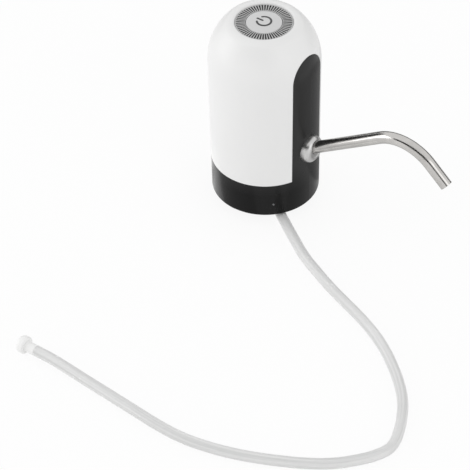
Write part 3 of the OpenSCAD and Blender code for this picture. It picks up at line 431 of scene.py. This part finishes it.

# %% [markdown]
# The ring round the button is grey at its ridge tops, and the floors of its grooves are painted near black,
# a painted shade in the recesses. The base is polished black, painted deeper at its skirt and a shade
# greyer on the upright strip: painted shade where the skirt faces down and painted light where the strip
# faces the fill lamp. Painting two materials on faces would leave hard borders, so the height of a point,
# read from the object coordinates, blends the two tones.

# %% Shades by height
Z_RING = 140.0
GROOVES_UNDER, RIDGES_OVER = Z_RING - 0.5, Z_RING - 0.15
SKIRT_UNDER, STRIP_OVER = 24, 46


def shade_by_height(finish, low, low_colour, high, high_colour):
    """Gives a finish one colour below a height in mm and another above a second height."""
    tree = finish.node_tree
    split = tree.nodes.new("ShaderNodeSeparateXYZ")
    link(tree, tree.nodes.new("ShaderNodeTexCoord").outputs["Object"], split.inputs[0])
    height = ramp(tree, split.outputs["Z"], low * MM, high * MM)
    link(tree, mix_colour(tree, height, (*low_colour, 1), (*high_colour, 1)), skin_colour(finish))


# Painted shade on the floors of the ring's grooves.
shade_by_height(ring_grey, GROOVES_UNDER, GROOVE_PAINTED_SHADE, RIDGES_OVER, RIDGE_LIGHT)
# Painted shade on the base's skirt and painted light on its upright strip.
shade_by_height(black_base, SKIRT_UNDER, SKIRT_BLACK_PAINTED_SHADE, STRIP_OVER, STRIP_BLACK_PAINTED_LIGHT)
print("shades by height on the ring and the base")

# %% [markdown]
# Lighter streaks run along the hose, painted highlights in its colour. Its UV map runs along and around the
# skin, so a noise that is stretched along the first axis and closed into a circle on the second follows
# every bend. The short tube inside the pump is the same silicone without streaks.

# %% Silicone
SILICONE_MILK = (0.88, 0.882, 0.878)
SILICONE = {"roughness": 0.34, "Drift": 0.05, "Gloss_Spread": 0.1, "Grain_Scale": 700.0,
            "Grain_Depth": 0.00001, "Edge": 0.0002, "shader": {"Transmission_Weight": 0.15, "IOR": 1.41}}
STREAKS_ROUND, STREAKS_ALONG = 2.2, 7.0
STREAK_FROM, STREAK_TO = 0.35, 0.65
# The lighter streak tone is a painted highlight.
STREAK_DARK, STREAK_PAINTED_HIGHLIGHT = (0.79, 0.792, 0.788, 1), (0.93, 0.93, 0.926, 1)

silicone = moulded("silicone", SILICONE_MILK, **SILICONE)
hose_silicone = moulded("hose_silicone", SILICONE_MILK, **SILICONE)
tree = hose_silicone.node_tree
split = tree.nodes.new("ShaderNodeSeparateXYZ")
link(tree, tree.nodes.new("ShaderNodeTexCoord").outputs["UV"], split.inputs[0])
turn = math_node(tree, "MULTIPLY", split.outputs["Y"], 2 * math.pi)
joined = tree.nodes.new("ShaderNodeCombineXYZ")
for axis, wave in (("X", "COSINE"), ("Y", "SINE")):
    link(tree, math_node(tree, "MULTIPLY", math_node(tree, wave, turn), STREAKS_ROUND), joined.inputs[axis])
link(tree, math_node(tree, "MULTIPLY", split.outputs["X"], STREAKS_ALONG), joined.inputs["Z"])
streak = tree.nodes.new("ShaderNodeTexNoise")
streak.inputs["Scale"].default_value = 1.0
streak.inputs["Detail"].default_value = 2.0
link(tree, joined.outputs[0], streak.inputs["Vector"])
streaks = ramp(tree, streak.outputs["Fac"], STREAK_FROM, STREAK_TO)
# Painted highlight streaks along the hose.
link(tree, mix_colour(tree, streaks, STREAK_DARK, STREAK_PAINTED_HIGHLIGHT), skin_colour(hose_silicone))
print("hose finish:", len(tree.nodes), "nodes")

# %% Inner finishes
INNER = {
    "grey_rubber": moulded("grey_rubber", (0.24, 0.24, 0.24), 0.65, Drift=0.2, Grain_Depth=0.00003),
    "black_rubber": moulded("black_rubber", (0.02, 0.02, 0.02), 0.6, Drift=0.3, Grain_Depth=0.00003),
    "red_rubber": moulded("red_rubber", (0.42, 0.06, 0.03), 0.55, Drift=0.2, Grain_Depth=0.00002),
    "natural_plastic": moulded("natural_plastic", (0.68, 0.64, 0.55), 0.42, Drift=0.1, Grain_Depth=0.00001),
    "board_green": moulded("board_green", (0.012, 0.13, 0.045), 0.32, Drift=0.35, Grain_Scale=900.0),
    "chip_black": moulded("chip_black", (0.018, 0.018, 0.018), 0.5, Drift=0.3, Grain_Depth=0.00002),
    "switch_ivory": moulded("switch_ivory", (0.72, 0.69, 0.58), 0.38, Drift=0.1, Edge=0.0002),
    "led_cream": moulded("led_cream", (0.8, 0.74, 0.5), 0.3, Drift=0.1, Edge=0.0001),
    "cell_wrap": moulded("cell_wrap", (0.03, 0.16, 0.42), 0.25, Drift=0.12, Grain_Scale=400.0,
                         Grain_Depth=0.00002),
    "holder_grey": moulded("holder_grey", (0.32, 0.32, 0.33), 0.5, Drift=0.15, Grain_Depth=0.00002),
    "wire_skin": moulded("wire_skin", (0.5, 0.03, 0.025), 0.35, Drift=0.15, Edge=0.0002),
    "magnet": metal("magnet", (0.17, 0.165, 0.16), 0.5, Stain=0.4),
    "bronze": metal("bronze", (0.55, 0.36, 0.16), 0.35, Stain=0.4),
    "ground_steel": metal("ground_steel", (0.6, 0.6, 0.6), 0.18, Mark_Scale=2500.0),
    "copper_iron": metal("copper_iron", (0.62, 0.3, 0.15), 0.35, Stain=0.45),
    "plated_steel": metal("plated_steel", (0.66, 0.66, 0.65), 0.24, Stain=0.2),
    "zinc_screw": metal("zinc_screw", (0.6, 0.6, 0.62), 0.28, Stain=0.3, Edge=0.0002),
}
print("inner finishes:", len(INNER))

# %% [markdown]
# ## Finishes on the CAD nodes
# The record names a material slot for every CAD node. One table says which finish each slot gets, so every
# node that keeps its CAD shape is dressed in one loop.

# %% Dress the CAD nodes
FINISH_OF_SLOT = {"white_plastic": white_shell, "black_plastic": black_base, "black_satin": black_adapter,
                  "ring_grey": ring_grey, "button_grey": button_grey, "sign_grey": sign_grey,
                  "white_foot": foot_white, "bright_collar": collar_chrome, "spout_steel": spout_steel,
                  "silicone": silicone, "light_guide": light_guide, **INNER}
for row in frame["record"]["subparts"]:
    mesh = nodes[row["node"]].data
    mesh.materials.clear()
    mesh.materials.append(FINISH_OF_SLOT[row["material_slot"]])
print("dressed", len(nodes), "CAD nodes")

# %% [markdown]
# ## Making new pieces
# Most round pieces are turned: a profile is drawn as a wire of a few vertices, its corners are rounded with
# a vertex bevel, and `spin` carries it round the axis. The finished mesh is placed by moving its vertices,
# so that the object itself stays at the origin and patterns on object coordinates stay put.

# %% Piece helpers
SEAM, MERGE = 1e-7, 1e-6


def turned(profile, steps, closed=False, round_steps=5):
    """A bmesh turned about Z from (radius, height, corner rounding) in mm."""
    bm = bmesh.new()
    line = [bm.verts.new((r * MM, 0, z * MM)) for r, z, _ in profile]
    for a, b in zip(line, line[1:] + (line[:1] if closed else [])):
        bm.edges.new((a, b))
    for corner, (_, _, rounding) in zip(line, profile):
        if rounding:
            bmesh.ops.bevel(bm, geom=[corner], offset=rounding * MM, offset_type="OFFSET",
                            segments=round_steps, profile=0.5, affect="VERTICES", material=-1)
    bmesh.ops.spin(bm, geom=bm.verts[:] + bm.edges[:], cent=(0, 0, 0), axis=(0, 0, 1), dvec=(0, 0, 0),
                   angle=2 * math.pi, steps=steps, use_merge=True, use_duplicate=False)
    bmesh.ops.remove_doubles(bm, verts=bm.verts[:], dist=SEAM)
    bmesh.ops.recalc_face_normals(bm, faces=bm.faces[:])
    return bm


def made(name, bm, finish, body="housing", stands_for=(), sharp=38):
    """Turns a bmesh into a smooth-shaded piece that rides on a body."""
    mesh = bpy.data.meshes.new(name)
    bm.to_mesh(mesh)
    bm.free()
    mesh.shade_smooth()
    mesh.set_sharp_from_angle(angle=math.radians(sharp))
    mesh.materials.append(finish)
    piece = bpy.data.objects.new(name, mesh)
    scene.collection.objects.link(piece)
    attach(piece, body)
    if stands_for:
        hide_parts(*stands_for)
    print(name, len(mesh.polygons), "faces")
    return piece


# %% [markdown]
# ## Suction hose
# The hose is soft silicone: it drops out of the pump's underside and lies on the floor in one wide loose
# turn. A Bezier spline with automatic handles runs through the route's points, its bevel gives a round
# skin, and the mesh of that skin gets a wall with `solidify`, because light passes through a milky wall
# differently than through a rod.

# %% Hose route
HOSE_R, HOSE_WALL, ON_FLOOR = 3.45, 1.25, 3.55
HOSE_DROP = [(0, 0, 45.5), (0, 0, 38), (0, 0, 31), (3, -2, 18), (11.2, -7.8, 8), (23.4, -16.3, 3.8)]
HOSE_TURN = [(34.2, -23.8), (47.8, -32.9), (61.5, -41.7), (77.2, -49.4), (93, -56.4), (109.8, -62.8),
             (126.5, -69.2), (141.3, -76.2), (155, -84.6), (166.8, -93.5), (177.5, -103), (187.2, -113.7),
             (194.9, -125.6), (201, -138.4), (203.2, -144.9), (204, -152), (201.1, -160.7),
             (192.5, -173.1), (182.3, -183.5), (169.3, -192.5), (156.6, -199.4), (143.2, -205.7),
             (129.4, -211), (114.2, -215.3), (98.2, -218.1), (80.2, -218.4), (60.1, -216.9),
             (40.1, -215.3)]
HOSE_END = [(20.3, -214, 3.9), (4.6, -213.4, 5), (-9.2, -213, 5.75), (-21.2, -213, 5.75)]
hose_route = HOSE_DROP + [(x, y, ON_FLOOR) for x, y in HOSE_TURN] + HOSE_END


def route_curve(radius):
    """The hose's line as a Bezier curve's mesh, with a round skin where a radius is given."""
    curve = bpy.data.curves.new("hose_line", "CURVE")
    curve.dimensions = "3D"
    curve.resolution_u = 8
    curve.bevel_depth = radius * MM
    curve.bevel_resolution = 10
    spline = curve.splines.new("BEZIER")
    spline.bezier_points.add(len(hose_route) - 1)
    for point, place in zip(spline.bezier_points, hose_route):
        point.co = Vector(place) * MM
        point.handle_left_type = point.handle_right_type = "AUTO"
    line = bpy.data.objects.new("hose_line", curve)
    scene.collection.objects.link(line)
    mesh = bpy.data.meshes.new_from_object(line.evaluated_get(bpy.context.evaluated_depsgraph_get()))
    bpy.data.objects.remove(line)
    return mesh


hose_line = [v.co.copy() for v in route_curve(0).vertices]
hose_length = sum((b - a).length for a, b in zip(hose_line, hose_line[1:]))
print("hose line:", len(hose_line), "points,", round(hose_length / MM, 1), "mm")

# %% Hose wall
bm = bmesh.new()
bm.from_mesh(route_curve(HOSE_R))
bmesh.ops.remove_doubles(bm, verts=bm.verts[:], dist=MERGE)
bmesh.ops.recalc_face_normals(bm, faces=bm.faces[:])
bmesh.ops.solidify(bm, geom=bm.faces[:], thickness=HOSE_WALL * MM)
hose = made("suction_hose", bm, hose_silicone, stands_for=("hose",))

# %% [markdown]
# ## Button, ridged ring and bezel
# Round the button runs a dark ring with fine radial ridges, and outside it a thin light bezel. A bump
# would look flat from the side, so the ridges are real: the ring is turned with three steps for each
# ridge, and two of every three faces of its flat top are inset and pushed down together, which leaves
# narrow ridges standing between wider grooves. The button is turned in one piece with its flange and stem.

# %% Ridged ring
RING_IN, RING_OUT, RING_SOLE, RING_EDGE = 11.9, 18.2, 136, 0.3
LIP_R, LIP_Z = 14.1, 138
RIDGES, STEPS_PER_RIDGE, RIDGE_DEPTH, GROOVE_SLOPE = 60, 3, 0.6, 0.06
LEVEL, TOP_SKIN = 0.999, 0.01

bm = turned([(RING_IN, LIP_Z, 0), (RING_IN, Z_RING, RING_EDGE), (RING_OUT, Z_RING, RING_EDGE),
             (RING_OUT, RING_SOLE, 0), (LIP_R, RING_SOLE, 0), (LIP_R, LIP_Z, 0)],
            steps=STEPS_PER_RIDGE * RIDGES, closed=True)


def step_number(face):
    """Which step of the turning made a face."""
    middle = face.calc_center_median()
    return int((math.atan2(middle.y, middle.x) + math.pi) / (2 * math.pi / (STEPS_PER_RIDGE * RIDGES)))


top_faces = [f for f in bm.faces
             if f.normal.z > LEVEL and f.calc_center_median().z > (Z_RING - TOP_SKIN) * MM]
grooves = [f for f in top_faces if step_number(f) % STEPS_PER_RIDGE]
bmesh.ops.inset_region(bm, faces=grooves, thickness=GROOVE_SLOPE * MM, depth=-RIDGE_DEPTH * MM,
                       use_even_offset=True)
print("faces sunk for grooves:", len(grooves))
made("ridged_ring", bm, ring_grey, stands_for=("button_ring",), sharp=30)

# %% Bezel
BEZEL_IN, BEZEL_OUT, BEZEL_TOP, BEZEL_SOLE = 18.25, 18.6, 139.98, 136.2

bm = turned([(BEZEL_IN, BEZEL_SOLE, 0), (BEZEL_IN, BEZEL_TOP, 0.1), (BEZEL_OUT, BEZEL_TOP, 0.15),
             (BEZEL_OUT, BEZEL_SOLE, 0)], steps=160, closed=True)
made("ring_bezel", bm, bezel_grey)

# %% Button
BUTTON_R, BUTTON_RISE, BUTTON_EDGE = 11.6, 0.8, 0.4
STEM_R, STEM_END = 1.6, 132.52
FLANGE_R, FLANGE_LOW, FLANGE_TOP = 13.8, 136.35, 137.85
DOME_RADII = (10.4, 9, 7.5, 6, 4.5, 3, 1.5, 0)


def cap_height(r):
    """Height in mm of the button's gently domed top at a distance from its axis."""
    return Z_RING + BUTTON_RISE * (1 - (r / BUTTON_R) ** 2)


bm = turned([(0, STEM_END, 0), (STEM_R, STEM_END, 0.2), (STEM_R, FLANGE_LOW, 0), (FLANGE_R, FLANGE_LOW, 0.15),
             (FLANGE_R, FLANGE_TOP, 0.3), (BUTTON_R, FLANGE_TOP, 0.2), (BUTTON_R, Z_RING, BUTTON_EDGE),
             *((r, cap_height(r), 0) for r in DOME_RADII)], steps=128)
made("push_button", bm, button_grey, "button", ("power_button",))

# %% [markdown]
# ## Power sign
# The sign is a broken ring with a bar in its gap, moulded slightly proud of the button. A printed pattern
# would have no edge to catch the light, so it is modelled: a radial edge is spun for the ring's flat face,
# half turns round the ends give them round tips, and the flat shape is extruded. Each vertex is then lifted
# to the button's domed top, which the sign follows.

# %% Power sign
SIGN_R, SIGN_W, SIGN_GAP, SIGN_H = 4.6, 1.2, math.radians(76), 0.15
BAR_OUT, BAR_IN = -5.2, -1.1
ARC_STEPS, TIP_STEPS = 72, 12


def flat_stroke(bm, centre, turn, ends, steps):
    """Spins a radial edge from one angle to another round a centre; ends are the edge's two radii."""
    start = [centre + Vector((math.cos(turn[0]), math.sin(turn[0]), 0)) * r for r in ends]
    verts = [bm.verts.new((p.x * MM, p.y * MM, Z_RING * MM)) for p in start]
    edge = bm.edges.new(verts)
    bmesh.ops.spin(bm, geom=verts + [edge], cent=centre * MM, axis=(0, 0, 1), dvec=(0, 0, 0),
                   angle=turn[1] - turn[0], steps=steps, use_duplicate=False)


half = SIGN_W / 2
bm = bmesh.new()
first, last = math.pi + SIGN_GAP / 2, 3 * math.pi - SIGN_GAP / 2
flat_stroke(bm, Vector((0, 0, 0)), (first, last), (SIGN_R - half, SIGN_R + half), ARC_STEPS)
for tip, way in ((first, -1), (last, 1)):
    centre = Vector((math.cos(tip), math.sin(tip), 0)) * SIGN_R
    flat_stroke(bm, centre, (tip, tip + way * math.pi), (0, half), TIP_STEPS)
for x, way in ((BAR_OUT, -1), (BAR_IN, 1)):
    flat_stroke(bm, Vector((x, 0, 0)), (math.pi / 2, math.pi / 2 - way * math.pi), (0, half), TIP_STEPS)
bar = [bm.verts.new((x * MM, y * MM, Z_RING * MM))
       for x, y in ((BAR_OUT, -half), (BAR_IN, -half), (BAR_IN, half), (BAR_OUT, half))]
bm.faces.new(bar)
bmesh.ops.remove_doubles(bm, verts=bm.verts[:], dist=MERGE)
bmesh.ops.recalc_face_normals(bm, faces=bm.faces[:])
if sum(f.normal.z for f in bm.faces) < 0:
    bmesh.ops.reverse_faces(bm, faces=bm.faces[:])
raised = bmesh.ops.extrude_face_region(bm, geom=bm.faces[:])
bmesh.ops.translate(bm, verts=[v for v in raised["geom"] if isinstance(v, bmesh.types.BMVert)],
                    vec=(0, 0, SIGN_H * MM))
for v in bm.verts:
    v.co.z += (cap_height(v.co.xy.length / MM) - Z_RING) * MM
bmesh.ops.recalc_face_normals(bm, faces=bm.faces[:])
made("power_mark", bm, sign_grey, "button", ("power_sign",), sharp=30)

# %% [markdown]
# ## Spout
# The spout is one bent steel tube. A curve with a bevel could make it too, but with operators the run, the
# bend's radius and the tip keep their exact sizes: a circle is extruded along the straight run, spun about
# the bend's centre and extruded again for the tip, and `solidify` gives the wall. The Bevel node in the
# finish softens the outlet's edge, as deburring would.

# %% Spout tube
SPOUT_FOOT = Vector((35.826, 0, 53.4))
SPOUT_RISE, BEND_TURN = math.radians(33), math.radians(74.6)
SPOUT_START, SPOUT_RUN, BEND_R, SPOUT_TIP = -8.7, 64.2, 32.0, 17.0
TUBE_R, TUBE_WALL, TUBE_SIDES = 4.0, 0.6, 72
RUN_PARTS, BEND_PARTS, TIP_PARTS = 12, 30, 4
SPOUT_WAY = Vector((math.cos(SPOUT_RISE), 0, math.sin(SPOUT_RISE)))
BEND_CENTRE = SPOUT_FOOT + SPOUT_WAY * SPOUT_RUN - Vector((-SPOUT_WAY.z, 0, SPOUT_WAY.x)) * BEND_R


def carry_on(bm, edges, vec):
    """Extrudes an open ring of edges along a vector in mm, and returns the new ring."""
    grown = bmesh.ops.extrude_edge_only(bm, edges=edges)["geom"]
    bmesh.ops.translate(bm, verts=[g for g in grown if isinstance(g, bmesh.types.BMVert)], vec=vec * MM)
    return [g for g in grown if isinstance(g, bmesh.types.BMEdge)]


bm = bmesh.new()
across = SPOUT_WAY.to_track_quat("Z", "Y").to_matrix().to_4x4()
start = Matrix.Translation((SPOUT_FOOT + SPOUT_WAY * SPOUT_START) * MM) @ across
bmesh.ops.create_circle(bm, cap_ends=False, segments=TUBE_SIDES, radius=TUBE_R * MM, matrix=start)
ring = bm.edges[:]
for _ in range(RUN_PARTS):
    ring = carry_on(bm, ring, SPOUT_WAY * (SPOUT_RUN - SPOUT_START) / RUN_PARTS)
bent = bmesh.ops.spin(bm, geom=list({v for e in ring for v in e.verts}) + ring, cent=BEND_CENTRE * MM,
                      axis=(0, 1, 0), dvec=(0, 0, 0), angle=BEND_TURN, steps=BEND_PARTS,
                      use_duplicate=False)["geom_last"]
tip_way = Matrix.Rotation(BEND_TURN, 3, "Y") @ SPOUT_WAY
ring = [g for g in bent if isinstance(g, bmesh.types.BMEdge)]
for _ in range(TIP_PARTS):
    ring = carry_on(bm, ring, tip_way * SPOUT_TIP / TIP_PARTS)
bmesh.ops.recalc_face_normals(bm, faces=bm.faces[:])
bmesh.ops.solidify(bm, geom=bm.faces[:], thickness=TUBE_WALL * MM)
made("bent_spout", bm, spout_steel, "spout", ("spout_tube",))
print("spout tip points along", [round(c, 2) for c in tip_way])

# %% [markdown]
# ## Collar
# A bright turned collar covers the hole where the spout leaves the base. It is turned like the other round
# pieces and laid along X. The spout leaves it at a slant, so no turned hole would fit: the hole is cut by a
# Boolean modifier with a slanted rod, and a second cut with the base's own cylinder makes its back hug the
# wall.

# %% Cutting helpers
def as_object(bm, name):
    """Links a bmesh as a plain object, for a modifier to work with."""
    mesh = bpy.data.meshes.new(name)
    bm.to_mesh(mesh)
    bm.free()
    thing = bpy.data.objects.new(name, mesh)
    scene.collection.objects.link(thing)
    return thing


def cut_away(bm, tools):
    """Takes closed shapes out of a closed shape with exact Booleans, and returns what is left as a bmesh."""
    blank = as_object(bm, "blank")
    cutters = [as_object(tool, "cutter") for tool in tools]
    for cutter in cutters:
        modifier = blank.modifiers.new("cut", "BOOLEAN")
        modifier.operation = "DIFFERENCE"
        modifier.solver = "EXACT"
        modifier.object = cutter
    mesh = bpy.data.meshes.new_from_object(blank.evaluated_get(bpy.context.evaluated_depsgraph_get()))
    for thing in (blank, *cutters):
        bpy.data.objects.remove(thing)
    left = bmesh.new()
    left.from_mesh(mesh)
    return left


def rod(radius, length, sides, place):
    """A closed rod of a radius and a length in mm, at a place given as a matrix."""
    bm = bmesh.new()
    bmesh.ops.create_cone(bm, cap_ends=True, segments=sides, radius1=radius * MM, radius2=radius * MM,
                          depth=length * MM, matrix=place)
    return bm


# %% Collar
COLLAR_R, COLLAR_H, COLLAR_ROOT, COLLAR_ROUND = 9.2, 5.2, 3.0, 3.9
DISH_R, DISH_DEPTH, DISH_SLOPE = 5.2, 0.35, 0.6
TUBE_ROOM, HOLE_FROM, HOLE_TO, HOLE_SIDES = 0.25, -20, 30, 96
WALL_HEIGHT, WALL_SIDES = 80, 256

bm = turned([(0, -COLLAR_ROOT, 0), (COLLAR_R, -COLLAR_ROOT, 0), (COLLAR_R, COLLAR_H, COLLAR_ROUND),
             (DISH_R, COLLAR_H, 0.15), (DISH_R - DISH_SLOPE, COLLAR_H - DISH_DEPTH, 0.2),
             (0, COLLAR_H - DISH_DEPTH, 0)], steps=128, round_steps=10)
bmesh.ops.rotate(bm, verts=bm.verts[:], cent=(0, 0, 0), matrix=Matrix.Rotation(math.radians(90), 3, "Y"))
bmesh.ops.translate(bm, verts=bm.verts[:], vec=SPOUT_FOOT * MM)
wall = rod(SPOUT_FOOT.x, WALL_HEIGHT, WALL_SIDES, Matrix.Translation((0, 0, SPOUT_FOOT.z * MM)))
hole_middle = SPOUT_FOOT + SPOUT_WAY * (HOLE_FROM + HOLE_TO) / 2
hole = rod(TUBE_R + TUBE_ROOM, HOLE_TO - HOLE_FROM, HOLE_SIDES, Matrix.Translation(hole_middle * MM) @ across)
bm = cut_away(bm, [wall, hole])
made("spout_flange", bm, collar_chrome, stands_for=("spout_collar",), sharp=40)

# %% [markdown]
# ## Charging socket
# On the back sits a small charging socket: a plated shell with rounded corners, a dark tongue in its mouth
# and five gilded contacts on the tongue. All are boxes: a cube is scaled to size and its long edges are
# bevelled. The shell loses its mouth face and gets a thin wall with `solidify`.

# %% Charging socket shell
SOCKET_MOUTH, SOCKET_BACK, SOCKET_W, SOCKET_LOW, SOCKET_TOP = -35.37, -29.57, 7.6, 41.2, 44.1
SHELL_ROUND, SHELL_WALL = 0.8, 0.3
MOSTLY = 0.9


def block(low, high, rounding):
    """A box between two corners in mm, with the edges that run along X rounded."""
    bm = bmesh.new()
    bmesh.ops.create_cube(bm, size=MM)
    low, high = Vector(low), Vector(high)
    bmesh.ops.scale(bm, verts=bm.verts[:], vec=high - low)
    bmesh.ops.translate(bm, verts=bm.verts[:], vec=(low + high) / 2 * MM)
    along = [e for e in bm.edges if abs((e.verts[0].co - e.verts[1].co).normalized().x) > MOSTLY]
    bmesh.ops.bevel(bm, geom=along, offset=rounding * MM, offset_type="OFFSET", segments=5, profile=0.5,
                    affect="EDGES", material=-1)
    return bm


bm = block((SOCKET_MOUTH, -SOCKET_W / 2, SOCKET_LOW), (SOCKET_BACK, SOCKET_W / 2, SOCKET_TOP), SHELL_ROUND)
mouth = [f for f in bm.faces if f.normal.x < -MOSTLY]
bmesh.ops.delete(bm, geom=mouth, context="FACES_ONLY")
bmesh.ops.solidify(bm, geom=bm.faces[:], thickness=SHELL_WALL * MM)
bmesh.ops.recalc_face_normals(bm, faces=bm.faces[:])
made("socket_shell", bm, INNER["plated_steel"], stands_for=("usb_socket",))

# %% Tongue and contacts
TONGUE_IN, TONGUE_END, TONGUE_HALF_W, TONGUE_HALF_T, TONGUE_ROUND = 0.6, 0.2, 2.2, 0.3, 0.12
CONTACT_IN, CONTACT_END, CONTACT_PITCH, CONTACT_HALF_W = 0.9, 1, 0.65, 0.18
CONTACT_SUNK, CONTACT_PROUD, CONTACT_ROUND = 0.01, 0.06, 0.03
LANES = range(-2, 3)

gilded = metal("gilded_contact", (0.75, 0.55, 0.22), 0.22, Stain=0.15, Edge=0.00005)
middle = (SOCKET_LOW + SOCKET_TOP) / 2
tongue_top = middle + TONGUE_HALF_T
bm = block((SOCKET_MOUTH + TONGUE_IN, -TONGUE_HALF_W, middle - TONGUE_HALF_T),
           (SOCKET_BACK - TONGUE_END, TONGUE_HALF_W, tongue_top), TONGUE_ROUND)
made("socket_tongue", bm, INNER["chip_black"])

bm = bmesh.new()
for lane in LANES:
    y = lane * CONTACT_PITCH
    strip = block((SOCKET_MOUTH + CONTACT_IN, y - CONTACT_HALF_W, tongue_top - CONTACT_SUNK),
                  (SOCKET_BACK - CONTACT_END, y + CONTACT_HALF_W, tongue_top + CONTACT_PROUD), CONTACT_ROUND)
    mesh = bpy.data.meshes.new("contact")
    strip.to_mesh(mesh)
    strip.free()
    bm.from_mesh(mesh)
    bpy.data.meshes.remove(mesh)
made("socket_contacts", bm, gilded)
